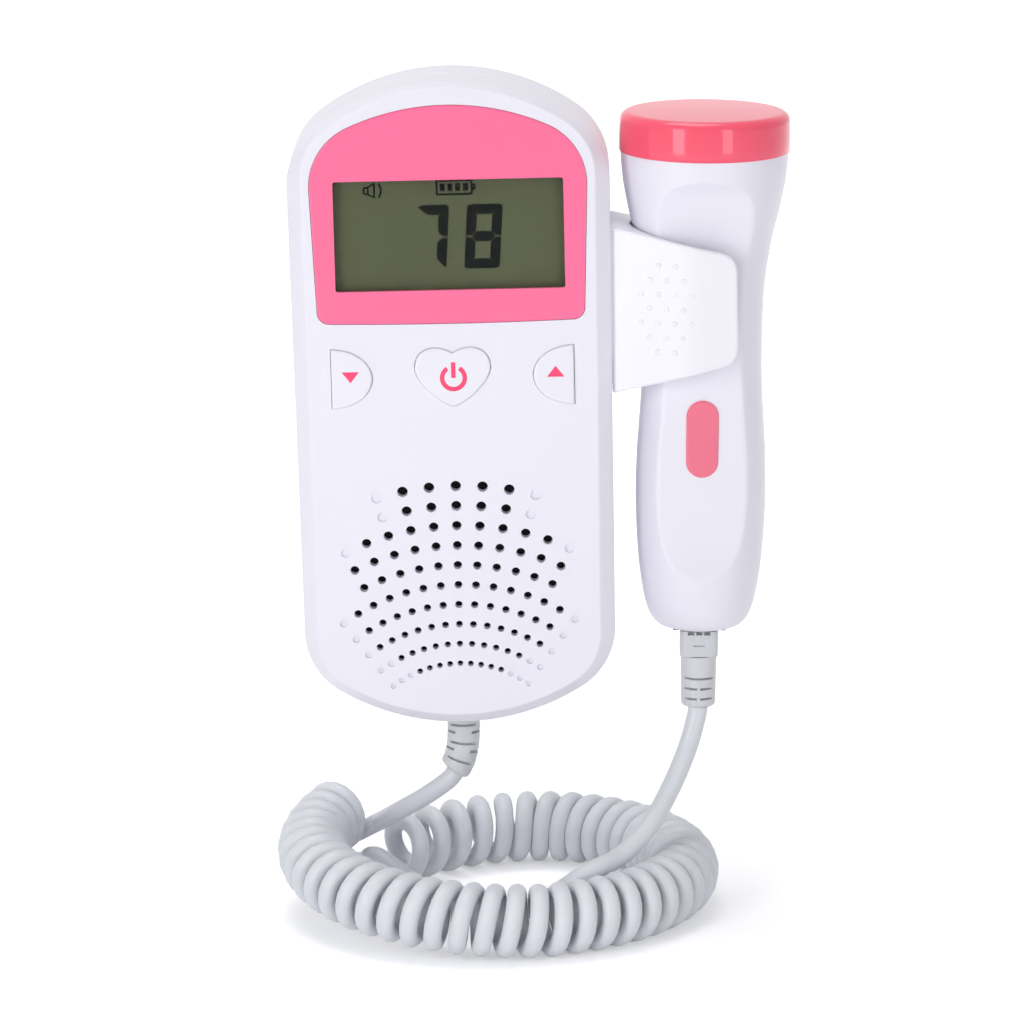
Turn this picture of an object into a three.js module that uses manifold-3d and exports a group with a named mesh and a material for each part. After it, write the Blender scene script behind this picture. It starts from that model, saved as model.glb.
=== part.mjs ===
// Fetal doppler monitor: a hand-held main unit with a display, three buttons and a loudspeaker,
// a probe that sits in a clip on the unit's right side, and the curly cord that joins the two.
// Millimetres. +Z is up the unit, the display faces -Y, the probe is on the +X side.
// The origin is on the unit's flat rear face, half way up.
import * as THREE from 'three';
import { mergeVertices } from 'three/addons/utils/BufferGeometryUtils.js';
import Module from 'manifold-3d';

const wasm = await Module();
wasm.setup();

// Main unit: the outline seen from the front
const unit_height = 135;
const unit_depth = 30;
const upper_half_width = 33.3;
const lower_half_width = 32.5;
const top_arch_radius = 46;
const top_corner_radius = 16;
const bottom_arch_radius = 48;
const bottom_corner_radius = 15;
const parting_depth = 15.5;
const case_wall = 2.2;
const face_wall = 2.4;
const rear_wall = 2;
const parting_gap = 0.12;

// Main unit: the bevel round the front face and the rounding round the rear face
const side_bevel = 3.1;
const top_bevel = 1;
const bottom_bevel = 2.4;
const bevel_depth = 3;
const bevel_middle_share = 0.42;
const rear_rounding = 5;
const rounding_steps = 4;

// Clearances, and the length by which a cut runs past a face
const fit = 0.3;
const slide_fit = 0.25;
const overrun = 1;

// Display panel let into the front face
const panel_below_top = 4.5;
const panel_height = 45;
const panel_upper_half_width = 28.6;
const panel_lower_half_width = 27.4;
const panel_arch_radius = 46;
const panel_corner_radius = 12;
const panel_foot_radius = 235;
const panel_foot_corner = 2.4;
const panel_thickness = 1;

// Display
const window_width = 47.2;
const window_height = 22.9;
const window_below_panel_top = 26.9;
const pane_rim = 0.7;
const pane_thickness = 1;
const display_rim = 1.6;
const display_thickness = 2.8;
const display_frame_wall = 1.8;
const display_frame_depth = 6.8;

// Buttons
const buttons_below_panel = 11.5;
const button_travel = 0.8;
const button_proud = 0.7;
const button_dome = 0.35;
const button_flange = 0.9;
const button_flange_thickness = 0.8;
const button_stem_radius = 1.9;
const arrow_button_flat_offset = 25;
const arrow_button_width = 8.4;
const arrow_button_height = 12.4;
const heart_width = 15.5;
const heart_height = 12.3;
// the heart's right half from its foot to its notch, as two curves' control points: shares of
// its half width and half height
const heart_curve_shares = [
  [0.28, -0.975], [1.1, -0.1], [1, 0.42],
  [0.95, 1.02], [0.42, 1.16], [0, 0.813],
];
// the D's lower half from its flat's foot to its tip, as one curve's control points
const arrow_curve_shares = [[0.35, -0.98], [1, -0.45], [1, 0]];

// Board and switches
const board_thickness = 1.6;
const board_width = 46;
const board_below_buttons = 8.9;
const board_above_window = 13.9;
const switch_side = 6;
const switch_height = 3.5;
const switch_plunger_radius = 1.7;
const switch_plunger_length = 2.1;
const switch_plunger_seat = 0.9;
const switch_well_spare = 0.1;

// Speaker grille: rows of holes on arcs about one centre below the holes
// the share of the free height between the buttons and the unit's foot that is above the holes
const grille_above_share = 0.5904;
const grille_inner_radius = 24;
const grille_row_pitch = 4.205;
const grille_hole_angle = 5.15;
const grille_large_radius = 1.02;
const grille_small_radius = 0.58;
const grille_dimple_depth = 0.6;
const grille_hole_sides = 6;
// from the row next to the arcs' centre outwards: holes on each side of the middle one
const grille_holes_each_side = [4, 5, 6, 6, 6, 5, 5, 4, 2, 2];
// the same rows: dimples that go on outwards from the last hole on each side
const grille_dimples_each_side = [3, 2, 1, 1, 1, 0, 0, 1, 1, 1];

// Speaker
const speaker_above_grille_centre = 42.4;
const speaker_radius = 18;
const speaker_basket_depth = 4.2;
const speaker_basket_sheet = 0.8;
const speaker_neck_radius = 8.5;
const speaker_cone_gap = 1;
const speaker_coil_radius = 4;
const speaker_magnet_radius = 8;
const speaker_magnet_depth = 2.4;
const cloth_half_width = 21.9;
const cloth_thickness = 0.4;
const cloth_margin = 2.4;

// Battery bay, two AA cells side by side, and its sliding door
const cell_radius = 7.1;
const cell_length = 49.2;
const cell_nub_radius = 2.7;
const cell_nub_length = 1.3;
const cell_gap = 0.8;
const cell_play = 0.4;
const bay_above_foot = 7.3;
const bay_wall = 1.5;
const contact_thickness = 0.4;
const contact_width = 11;
const contact_bridge_width = 26;
const spring_length = 2.4;
const spring_radius = 4;
const spring_tip_radius = 2.4;
const spring_wire = 0.6;
const spring_turns = 2.5;
const spring_steps = 8;
const spring_sides = 5;
const door_lip = 1.6;
const door_lap = 1.8;
const door_thickness = 1.8;
const door_tongue = 1;
const door_tongue_thickness = 0.7;
const door_tongue_length = 30;
const door_grip_count = 5;
const door_grip_width = 12;
const door_grip_height = 0.9;
const door_grip_pitch = 2;
const door_grip_depth = 0.5;

// Case screws: two above the display, two beside the battery bay
const upper_screw_spacing = 39;
const upper_screw_below_top = 13.5;
const lower_screw_spacing = 50;
const lower_screw_above_foot = 29.5;
const screw_head_radius = 2.1;
const screw_head_height = 1.6;
const screw_shank_radius = 1.1;
const screw_length = 17;
const boss_radius = 2.7;
const counterbore_depth = 2.4;
const screw_slot_width = 0.6;
const screw_slot_length = 2.6;
const screw_slot_depth = 0.6;

// Probe: a revolved handle with a flat for the thumb, leaning away from the unit at its top
const probe_offset = 51.5;
const probe_depth = 15;
const probe_lean = 1.6;
const probe_seam_height = 50.2;
const probe_foot_height = -51.3;
const probe_seam_radius = 17.4;
// the handle's outline: radius as a share of the seam's, height as a share of the way up from
// the foot to the seam
const handle_profile_shares = [
  [0.494, 0], [0.575, 0.013], [0.644, 0.04], [0.684, 0.072], [0.736, 0.141], [0.77, 0.215],
  [0.784, 0.289], [0.773, 0.377], [0.744, 0.456], [0.718, 0.545], [0.718, 0.643], [0.736, 0.717],
  [0.776, 0.776], [0.833, 0.831], [0.902, 0.88], [0.96, 0.929], [0.991, 0.973], [1, 1],
];
// the thumb flat: its distance in front of the axis and its height, as the same shares
const thumb_flat_shares = [
  [1.09, 1.01], [0.954, 0.955], [0.828, 0.9], [0.713, 0.84], [0.626, 0.771], [0.575, 0.683],
  [0.557, 0.584], [0.56, 0.466], [0.569, 0.348], [0.586, 0.249], [0.626, 0.18], [0.713, 0.131],
  [0.862, 0.092],
];
const badge_width = 6.7;
const badge_height = 16.3;
const badge_centre_height = -8.9;
const badge_thickness = 0.8;
const badge_recess = 0.6;
const handle_wall = 1.8;

// Probe: cap, sounding element, board and socket
const cap_step = 0.2;
const cap_height = 8.5;
const cap_wall = 1.6;
const cap_rounding = 3;
const cap_crown = 0.4;
const element_inset = 1;
const element_thickness = 1.2;
const spigot_wall = 2.4;
const backing_length = 6;
const spigot_rise = 3;
const probe_board_width = 12;
const probe_board_thickness = 1.6;
const probe_board_length = 70;
const probe_board_above_socket = 8.3;
const board_rail_wall = 1.2;
const board_rail_bite = 1.6;
const socket_width = 11;
const socket_depth = 7;
const socket_height = 9;
const tongue_width = 6.4;
const tongue_depth = 3.2;
const tongue_length = 6;

// Plug below the probe
const plug_width = 8;
const plug_depth = 7.2;
const plug_height = 5.6;
const plug_corner = 1.4;
const plug_notch_count = 3;
const plug_notch_land = 0.35;
const plug_notch_height = 0.8;
const plug_notch_depth = 1.2;
const plug_slit_width = 2.4;
const plug_slit_height = 0.3;
const plug_slit_drop = 3.1;
const plug_slit_depth = 0.4;

// Boot under the plug: how far down it each slot lies, and which sides the slot is cut into
const plug_boot_form = {
  length: 11, bend: 0, upper_radius: 3.45, lower_radius: 3.2, rounding: 0.8,
  slot_height: 0.45, slot_depth: 1.1,
  slot_shares: [[0.42, 'facing'], [0.62, 'bridged'], [0.82, 'bridged']],
};

// Clip on the unit's side
const clip_wall = 2.2;
const clip_clearance = 0.4;
const clip_root_depth = 21;
const clip_reach_front = 7.4;
const clip_reach_back = 6;
const clip_upper_root_height = 36.2;
const clip_lower_root_height = 1.4;
const clip_upper_tip_height = 30.5;
const clip_lower_tip_height = 8.2;
const clip_tip_rounding = 3.4;
const clip_dot_offset = -7;
const clip_dot_sides = 6;
const clip_dot_radius = 0.6;
const clip_dot_relief = 0.35;
const clip_dot_column_pitch = 3.45;
const clip_dot_row_pitch = 3;
const clip_dot_height = 19.6;
const clip_dot_rows = [2, 3, 4, 3, 4, 3, 2];

// Boot where the cord leaves the unit
const unit_boot_form = {
  length: 14.6, bend: 44, upper_radius: 3.65, lower_radius: 3.1, rounding: 1.1,
  slot_height: 0.7, slot_depth: 1.3,
  slot_shares: [
    [0.24, 'facing'], [0.355, 'sideways'], [0.52, 'facing'], [0.64, 'sideways'],
    [0.8, 'facing'],
  ],
};
const slot_wall_share = 0.12;
const slot_reach_share = 0.7;
const boot_bend_power = 3;
const unit_boot_collar_radius = 4.8;
const unit_boot_collar_thickness = 1.2;

// Cord: a straight lead from the unit, a curly stretch laid in a ring, a straight lead to the probe
const cord_diameter = 3.8;
const curl_wire_diameter = 3.25;
const curl_count = 46;
const curl_steps = 8;
const curl_sides = 5;
const curl_diameter = 15.4;
const ring_centre_x = 6.6;
const ring_centre_y = -15;
const ring_half_width = 39.2;
const ring_half_depth = 36.6;
const ring_height = -104.3;
const ring_start_angle = 150;
const ring_sweep_angle = 337;
const ring_evening = 0.017;
const ring_step_share = 0.0001;
// the ring's start is lifted off the floor, its end is pulled forwards and its curls loosened
const ring_lift = 9;
const ring_lift_share = 0.4;
const ring_lift_power = 1.3;
const ring_pull = 12.5;
const ring_pull_share = 0.8;
const ring_pull_power = 2;
const curl_slack = 2;
const curl_start_phase = 232;
const curl_end_phase = 297;
const lead_sides = 8;
const unit_lead_steps = 10;
const probe_lead_steps = 34;
// The leads' centre lines between their straight ends, chosen by hand along the photographed route
const unit_lead_route = [[-9.4, -12.9, -87.7], [-14.2, -8.4, -92]];
const probe_lead_route = [
  [-22, 1.9, -106.6], [-21.6, -1.6, -104.2], [-19.3, -5, -103.4], [-15.6, -8.6, -105],
  [-10.6, -12.9, -107.7], [-5, -18, -109.4], [4, -27, -109.6], [14, -34.5, -106.3],
  [25, -38, -98.3], [32.3, -32.8, -96.2], [38.6, -26.8, -91.4], [43.3, -21, -85],
  [47.1, -17, -77.4],
];

// Sides of turned pieces, and the distance under which two points are one
const fine_sides = 26;
const round_sides = 16;
const outline_steps = 7;
const small_sides = 10;
const boot_sides = 12;
const weld_distance = 0.0004;

const upward = new THREE.Vector3(0, 0, 1);
const half_turn = Math.PI;
const full_turn = 2 * Math.PI;
const half = (size) => size / 2;
const radians = (angle) => THREE.MathUtils.degToRad(angle);

// A closed solid made from a geometry, with equal points merged and its faces turned outwards
function toSolid(geometry) {
  const bare = geometry.clone();
  bare.deleteAttribute('normal');
  bare.deleteAttribute('uv');
  const welded = mergeVertices(bare, weld_distance);
  const points = welded.getAttribute('position');
  const corner = [new THREE.Vector3(), new THREE.Vector3(), new THREE.Vector3()];
  const faces = [];
  let volume = 0;
  for (let i = 0; i < welded.index.count; i += 3) {
    const face = [0, 1, 2].map((k) => welded.index.getX(i + k));
    if (new Set(face).size < 3) continue;
    face.forEach((vertex, k) => corner[k].fromBufferAttribute(points, vertex));
    volume += corner[0].dot(corner[1].clone().cross(corner[2]));
    faces.push(face);
  }
  const outward = volume < 0 ? faces.map(([a, b, c]) => [a, c, b]) : faces;
  return new wasm.Manifold(new wasm.Mesh({
    numProp: 3,
    vertProperties: new Float32Array(points.array),
    triVerts: new Uint32Array(outward.flat()),
  }));
}

function toGeometry(solid) {
  const mesh = solid.getMesh();
  const geometry = new THREE.BufferGeometry();
  geometry.setAttribute('position', new THREE.BufferAttribute(mesh.vertProperties, 3));
  geometry.setIndex(new THREE.BufferAttribute(mesh.triVerts, 1));
  geometry.computeVertexNormals();
  return geometry;
}

const joined = (solids) => solids.reduce((whole, solid) => whole.add(solid));
const without = (solid, cuts) => cuts.reduce((rest, cut) => rest.subtract(cut), solid);

// A box between two limits on each axis
function block([x0, x1], [y0, y1], [z0, z1], matrix) {
  const box = new THREE.BoxGeometry(x1 - x0, y1 - y0, z1 - z0);
  box.translate(half(x0 + x1), half(y0 + y1), half(z0 + z1));
  if (matrix) box.applyMatrix4(matrix);
  return toSolid(box);
}

// A prism with its outline in the x-z plane, between two depths
function prism(outline, front, back, holes = []) {
  const shape = new THREE.Shape(outline);
  shape.holes = holes.map((hole) => new THREE.Path(hole));
  const geometry = new THREE.ExtrudeGeometry(shape, { depth: back - front, bevelEnabled: false });
  geometry.rotateX(half(half_turn));
  geometry.translate(0, back, 0);
  return toSolid(geometry);
}

// A column with its outline in the x-y plane, between two heights
function column(outline, from, to, matrix) {
  const shape = new THREE.Shape(outline);
  const geometry = new THREE.ExtrudeGeometry(shape, { depth: to - from, bevelEnabled: false });
  geometry.translate(0, 0, from);
  if (matrix) geometry.applyMatrix4(matrix);
  return toSolid(geometry);
}

// A turned piece: profile points are [radius, height along its axis]
function turned(profile, sides, matrix) {
  const closed = [[0, profile[0][1]], ...profile, [0, profile[profile.length - 1][1]]];
  const geometry = new THREE.LatheGeometry(closed.map(([r, h]) => new THREE.Vector2(r, h)), sides);
  if (matrix) geometry.applyMatrix4(matrix);
  return toSolid(geometry);
}
// A turned ring, whose profile closes on itself away from the axis
function turnedRing(profile, sides, matrix) {
  const closed = [...profile, profile[0]];
  const geometry = new THREE.LatheGeometry(closed.map(([r, h]) => new THREE.Vector2(r, h)), sides);
  if (matrix) geometry.applyMatrix4(matrix);
  return toSolid(geometry);
}
const place = (x, y, z) => new THREE.Matrix4().makeTranslation(x, y, z);
const uprightAt = (x, y) => place(x, y, 0).multiply(
  new THREE.Matrix4().makeRotationX(half(half_turn)));
const rod = (radius, from, to, matrix, sides = round_sides) =>
  turned([[radius, from], [radius, to]], sides, matrix);

// Skin over closed rings of points, each ring with the same number of points
function loft(rings) {
  const count = rings[0].length;
  const last = (rings.length - 1) * count;
  const index = [];
  for (let ring = 0; ring < rings.length - 1; ring += 1) {
    for (let i = 0; i < count; i += 1) {
      const a = ring * count + i;
      const b = ring * count + ((i + 1) % count);
      index.push(a, b, b + count, a, b + count, a + count);
    }
  }
  for (let i = 1; i < count - 1; i += 1) {
    index.push(0, i + 1, i, last, last + i, last + i + 1);
  }
  const geometry = new THREE.BufferGeometry();
  geometry.setAttribute('position', new THREE.Float32BufferAttribute(
    rings.flat().flatMap((point) => [point.x, point.y, point.z]), 3));
  geometry.setIndex(index);
  return geometry;
}

// A tube along points, with a radius for each point, framed so that it doesn't twist
function ringsAlong(points, radii, sides) {
  let across = new THREE.Vector3(0, 1, 0);
  return points.map((point, i) => {
    const ahead = points[Math.min(i + 1, points.length - 1)];
    const behind = points[Math.max(i - 1, 0)];
    const along = ahead.clone().sub(behind).normalize();
    across = across.clone().addScaledVector(along, -across.dot(along)).normalize();
    const other = along.clone().cross(across);
    return Array.from({ length: sides }, (_, k) => {
      const turn = full_turn * k / sides;
      return point.clone()
        .addScaledVector(across, radii[i] * Math.cos(turn))
        .addScaledVector(other, radii[i] * Math.sin(turn));
    });
  });
}

// Outlines, as lists of points in the x-z plane
function arc(x, z, radius, from, to, steps) {
  return Array.from({ length: steps + 1 }, (_, i) => {
    const turn = from + (to - from) * i / steps;
    return new THREE.Vector2(x + radius * Math.cos(turn), z + radius * Math.sin(turn));
  });
}

// Arched at the top and the foot, with nearly straight sides and a fillet at each corner
function archedOutline(form, steps) {
  const upper_arch = form.top - form.top_arch;
  const lower_arch = form.bottom + form.bottom_arch;
  const upper_x = form.upper_half_width - form.top_corner;
  const lower_x = form.lower_half_width - form.bottom_corner;
  const upper_z = upper_arch + Math.sqrt((form.top_arch - form.top_corner) ** 2 - upper_x ** 2);
  const lower_z = lower_arch
    - Math.sqrt((form.bottom_arch - form.bottom_corner) ** 2 - lower_x ** 2);
  const upper_turn = Math.atan2(upper_z - upper_arch, upper_x);
  const lower_turn = Math.atan2(lower_arch - lower_z, lower_x);
  const right = [
    ...arc(0, lower_arch, form.bottom_arch, -half(half_turn), -lower_turn, steps.arch).slice(1),
    ...arc(lower_x, lower_z, form.bottom_corner, -lower_turn, 0, steps.corner).slice(1),
    ...arc(upper_x, upper_z, form.top_corner, 0, upper_turn, steps.corner),
    ...arc(0, upper_arch, form.top_arch, upper_turn, half(half_turn), steps.arch).slice(1, -1),
  ];
  const left = right.map((point) => new THREE.Vector2(-point.x, point.y)).reverse();
  const crown = new THREE.Vector2(0, form.top);
  const foot = new THREE.Vector2(0, form.bottom);
  return [foot, ...right, crown, ...left];
}

const rectangle = (width, height, x, z) => [
  new THREE.Vector2(x - half(width), z - half(height)),
  new THREE.Vector2(x + half(width), z - half(height)),
  new THREE.Vector2(x + half(width), z + half(height)),
  new THREE.Vector2(x - half(width), z + half(height)),
];

// The main unit's body: one arched outline, drawn in towards the front and the rear face
const case_steps = { arch: 6, corner: 4 };
function caseRing(depth, side, top, bottom) {
  const outline = archedOutline({
    top: case_top - top,
    bottom: case_foot + bottom,
    upper_half_width: upper_half_width - side,
    lower_half_width: lower_half_width - side,
    top_arch: top_arch_radius - side,
    top_corner: top_corner_radius - side,
    bottom_arch: bottom_arch_radius - side,
    bottom_corner: bottom_corner_radius - side,
  }, case_steps);
  return outline.map((point) => new THREE.Vector3(point.x, depth, point.y));
}
const evenRing = (depth, inset) => caseRing(depth, inset, inset, inset);

const front_face = -unit_depth;
const parting = -parting_depth;
const case_top = half(unit_height);
const case_foot = -case_top;
const front_body = toSolid(loft([
  evenRing(parting - half(parting_gap), 0),
  evenRing(front_face + bevel_depth, 0),
  caseRing(front_face + bevel_depth * bevel_middle_share, side_bevel * (1 - bevel_middle_share),
    top_bevel * (1 - bevel_middle_share), bottom_bevel * (1 - bevel_middle_share)),
  caseRing(front_face, side_bevel, top_bevel, bottom_bevel),
]));
const rear_rings = Array.from({ length: rounding_steps + 1 }, (_, i) => {
  const turn = half(half_turn) * i / rounding_steps;
  const inset = rear_rounding * (1 - Math.cos(turn));
  return evenRing(-rear_rounding + rear_rounding * Math.sin(turn), inset);
});
const rear_body = toSolid(loft([evenRing(parting + half(parting_gap), 0), ...rear_rings]));

// Places of the cuts and bosses that both shells share
const inner_face = front_face + face_wall;
const boot_hole_radius = unit_boot_form.upper_radius - fit;
const boot_neck_radius = boot_hole_radius - fit;
const boot_hole = rod(boot_hole_radius, case_foot - overrun, case_foot + case_wall + overrun,
  uprightAt(0, -probe_depth));
const screw_hole_radius = screw_shank_radius + fit;

// Heights: the display hangs from the unit's top, the buttons from the display, and the grille
// shares out what is left down to the foot
const panel_top = case_top - panel_below_top;
const panel_bottom = panel_top - panel_height;
const window_middle = panel_top - window_below_panel_top;
const button_row_height = panel_bottom - buttons_below_panel;
const buttons_foot = button_row_height - half(arrow_button_height);
const grille_rows = grille_holes_each_side.length;
const grille_outer_radius = grille_inner_radius + (grille_rows - 1) * grille_row_pitch;
const grille_reach_up = grille_outer_radius + grille_large_radius;
const grille_reach_down = grille_inner_radius * Math.cos(
  radians(grille_holes_each_side[0] * grille_hole_angle)) - grille_small_radius;
const grille_free = buttons_foot - case_foot - (grille_reach_up - grille_reach_down);
const grille_centre_height = buttons_foot - grille_above_share * grille_free - grille_reach_up;

// Speaker grille: a hole or a dimple on each ray of each row
const grille_holes = [];
const grille_dimples = [];
grille_holes_each_side.forEach((holes, row) => {
  const share = row / (grille_rows - 1);
  const arc_radius = grille_inner_radius + row * grille_row_pitch;
  const hole_radius = grille_small_radius + (grille_large_radius - grille_small_radius) * share;
  const reach = holes + grille_dimples_each_side[row];
  for (let ray = -reach; ray <= reach; ray += 1) {
    const turn = half(half_turn) - radians(ray * grille_hole_angle);
    const x = arc_radius * Math.cos(turn);
    const z = grille_centre_height + arc_radius * Math.sin(turn);
    const outline = arc(x, z, hole_radius, 0, full_turn, grille_hole_sides).slice(0, -1);
    if (Math.abs(ray) > holes) grille_dimples.push(outline);
    else grille_holes.push(outline);
  }
});
const grille_cuts = [
  ...grille_holes.map((outline) => prism(outline, front_face - overrun, inner_face + overrun)),
  ...grille_dimples.map((outline) => prism(outline, front_face - overrun,
    front_face + grille_dimple_depth)),
];

// Display panel and window
const panelForm = (grow) => archedOutline({
  top: panel_top + grow,
  bottom: panel_bottom - half(panel_foot_corner) - grow,
  upper_half_width: panel_upper_half_width + grow,
  lower_half_width: panel_lower_half_width + grow,
  top_arch: panel_arch_radius + grow,
  top_corner: panel_corner_radius + grow,
  bottom_arch: panel_foot_radius + grow,
  bottom_corner: panel_foot_corner + grow,
}, case_steps);
const windowForm = (grow) => rectangle(window_width + 2 * grow, window_height + 2 * grow,
  0, window_middle);
const panel_back = front_face + panel_thickness;
const panel_seat = panel_back + fit;
const bezel_panel = prism(panelForm(0), front_face, panel_back, [windowForm(0)]);
const pane_front = panel_seat;
const pane_back = pane_front + pane_thickness;
const display_window = prism(windowForm(pane_rim), pane_front, pane_back);
const display_front = inner_face + fit;
const display_back = display_front + display_thickness;
const lcd_module = prism(windowForm(display_rim), display_front, display_back);
const display_frame_back = display_front + display_frame_depth;
const display_frame = without(
  prism(windowForm(display_rim + fit + display_frame_wall), display_front, display_frame_back), [
    prism(windowForm(display_rim + fit), display_front - overrun, display_back + fit),
    prism(windowForm(-display_rim), display_front, display_frame_back + overrun),
  ]);

// Screw bosses of both shells, and the four screws' places
const screw_places = [
  ['case_screw_upper_left', -half(upper_screw_spacing), case_top - upper_screw_below_top],
  ['case_screw_upper_right', half(upper_screw_spacing), case_top - upper_screw_below_top],
  ['case_screw_lower_left', -half(lower_screw_spacing), case_foot + lower_screw_above_foot],
  ['case_screw_lower_right', half(lower_screw_spacing), case_foot + lower_screw_above_foot],
];

// Button outlines: a heart, and a D whose flat side faces outwards
const arrow_button_x = arrow_button_flat_offset - half(arrow_button_width);
const onRow = (points, x) => points.map((point) =>
  new THREE.Vector2(point.x + x, point.y + button_row_height));
function curvePoints(x, z, shares, width, height) {
  const path = new THREE.Path();
  path.moveTo(x, z);
  for (let i = 0; i < shares.length; i += 3) {
    path.bezierCurveTo(...shares.slice(i, i + 3).flatMap(([across, up]) =>
      [across * width, up * height]));
  }
  return path.getPoints(outline_steps);
}
function heartOutline(grow) {
  const w = half(heart_width) + grow;
  const h = half(heart_height) + grow;
  const right = curvePoints(0, -h, heart_curve_shares, w, h);
  const left = right.slice(1, -1).map((point) => new THREE.Vector2(-point.x, point.y));
  return onRow([...right, ...left.reverse()], 0);
}
// Side -1 is the left button, whose flat is on its left; side 1 is its mirror image
function arrowButtonOutline(side, grow) {
  const w = half(arrow_button_width) + grow;
  const h = half(arrow_button_height) + grow;
  const lower = curvePoints(-w, -h, arrow_curve_shares, w, h);
  const upper = lower.slice(0, -1).map((point) => new THREE.Vector2(point.x, -point.y));
  const outline = [...lower, ...upper.reverse()];
  const turned_about = side < 0 ? outline
    : outline.map((point) => new THREE.Vector2(-point.x, point.y)).reverse();
  return onRow(turned_about, side * arrow_button_x);
}
const buttons = [
  { name: 'power_button', x: 0, outline: heartOutline },
  { name: 'down_button', x: -arrow_button_x, outline: (grow) => arrowButtonOutline(-1, grow) },
  { name: 'up_button', x: arrow_button_x, outline: (grow) => arrowButtonOutline(1, grow) },
];

// Front shell
const front_cavity = toSolid(loft([
  evenRing(parting + overrun, case_wall),
  evenRing(front_face + bevel_depth, case_wall),
  caseRing(inner_face, case_wall + half(side_bevel), case_wall + half(top_bevel),
    case_wall + half(bottom_bevel)),
]));
const front_bosses = screw_places.map(([, x, z]) =>
  rod(boss_radius, inner_face - half(face_wall), parting - fit, place(x, 0, z)));
const screw_tip = -counterbore_depth - screw_length;
const front_boss_bores = screw_places.map(([, x, z]) =>
  rod(screw_hole_radius, screw_tip - fit, parting + overrun, place(x, 0, z), small_sides));
const front_shell = without(
  joined([without(front_body, [front_cavity]), ...front_bosses]), [
    ...front_boss_bores,
    prism(panelForm(slide_fit), front_face - overrun, panel_seat),
    prism(windowForm(pane_rim + slide_fit), front_face, inner_face + overrun),
    ...buttons.map((button) =>
      prism(button.outline(slide_fit), front_face - overrun, inner_face + overrun)),
    ...grille_cuts,
    boot_hole,
  ]);

// Buttons: a domed head in its hole, a flange behind the face and a stem to the switch
const flange_front = inner_face + fit;
const flange_back = flange_front + button_flange_thickness;
const board_front = display_frame_back + fit;
const switch_back = board_front - fit;
const switch_front = switch_back - switch_height;
const switch_well_depth = switch_plunger_seat + button_travel + switch_well_spare;
const plunger_back = switch_front + switch_plunger_seat;
const plunger_front = plunger_back - switch_plunger_length;
const stem_back = plunger_front - fit;
const head_front = front_face - button_proud;
function buttonHead(button) {
  const rings = [
    [flange_front, 0], [head_front + button_dome, 0], [head_front, -button_dome],
  ].map(([depth, grow]) => button.outline(grow).map((p) => new THREE.Vector3(p.x, depth, p.y)));
  return toSolid(loftCapped(rings));
}
// Loft whose ends may be hollowed outlines, such as a heart's
function loftCapped(rings) {
  const geometry = loft(rings);
  const count = rings[0].length;
  const last = (rings.length - 1) * count;
  const walls = Array.from(geometry.index.array).slice(0, (rings.length - 1) * count * 6);
  const flat = rings[0].map((point) => new THREE.Vector2(point.x, point.z));
  THREE.ShapeUtils.triangulateShape(flat, []).forEach(([a, b, c]) => {
    walls.push(a, c, b, last + a, last + b, last + c);
  });
  geometry.setIndex(walls);
  return geometry;
}
const button_solids = buttons.map((button) => joined([
  buttonHead(button),
  prism(button.outline(button_flange), flange_front, flange_back),
  rod(button_stem_radius, flange_front, stem_back, place(button.x, 0, button_row_height)),
]));
const switch_plunger = rod(switch_plunger_radius, plunger_front, plunger_back, place(0, 0, 0));
const switch_body = without(
  block([-half(switch_side), half(switch_side)], [switch_front, switch_back],
    [-half(switch_side), half(switch_side)]),
  [rod(switch_plunger_radius + fit, switch_front - overrun, switch_front + switch_well_depth,
    place(0, 0, 0))]);

// Main board, behind the display frame and under the switches
const board_back = board_front + board_thickness;
const main_board = block([-half(board_width), half(board_width)], [board_front, board_back],
  [button_row_height - board_below_buttons, window_middle + board_above_window]);

// Speaker, behind the grille, with a dark cloth between
const cloth_top = grille_centre_height + grille_outer_radius + cloth_margin;
const cloth_bottom = grille_centre_height + grille_reach_down + grille_small_radius
  - cloth_margin;
const cloth_front = inner_face + fit;
const cloth_back = cloth_front + cloth_thickness;
const speaker_cloth = block([-cloth_half_width, cloth_half_width], [cloth_front, cloth_back],
  [cloth_bottom, cloth_top]);
const basket_front = cloth_back + fit;
const basket_back = basket_front + speaker_basket_depth;
const speaker_axis = place(0, 0, grille_centre_height + speaker_above_grille_centre);
const speaker_basket = turnedRing([
  [speaker_radius, basket_front],
  [speaker_radius, basket_front + speaker_basket_sheet],
  [speaker_neck_radius + speaker_basket_sheet, basket_back],
  [speaker_neck_radius - speaker_basket_sheet, basket_back],
  [speaker_neck_radius - speaker_basket_sheet, basket_back - speaker_basket_sheet],
  [speaker_radius - 2 * speaker_basket_sheet, basket_front],
], fine_sides, speaker_axis);
const cone_rim = speaker_radius - 2 * speaker_basket_sheet - speaker_cone_gap;
const cone_neck = speaker_neck_radius - speaker_basket_sheet - speaker_cone_gap;
const cone_back = basket_back - speaker_basket_sheet;
const speaker_cone = turned([
  [speaker_coil_radius, basket_back], [speaker_coil_radius, cone_back],
  [cone_neck, cone_back], [cone_rim, basket_front],
], fine_sides, speaker_axis);
const magnet_front = basket_back + fit;
const magnet_back = magnet_front + speaker_magnet_depth;
const speaker_magnet = rod(speaker_magnet_radius, magnet_front, magnet_back, speaker_axis);

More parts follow.
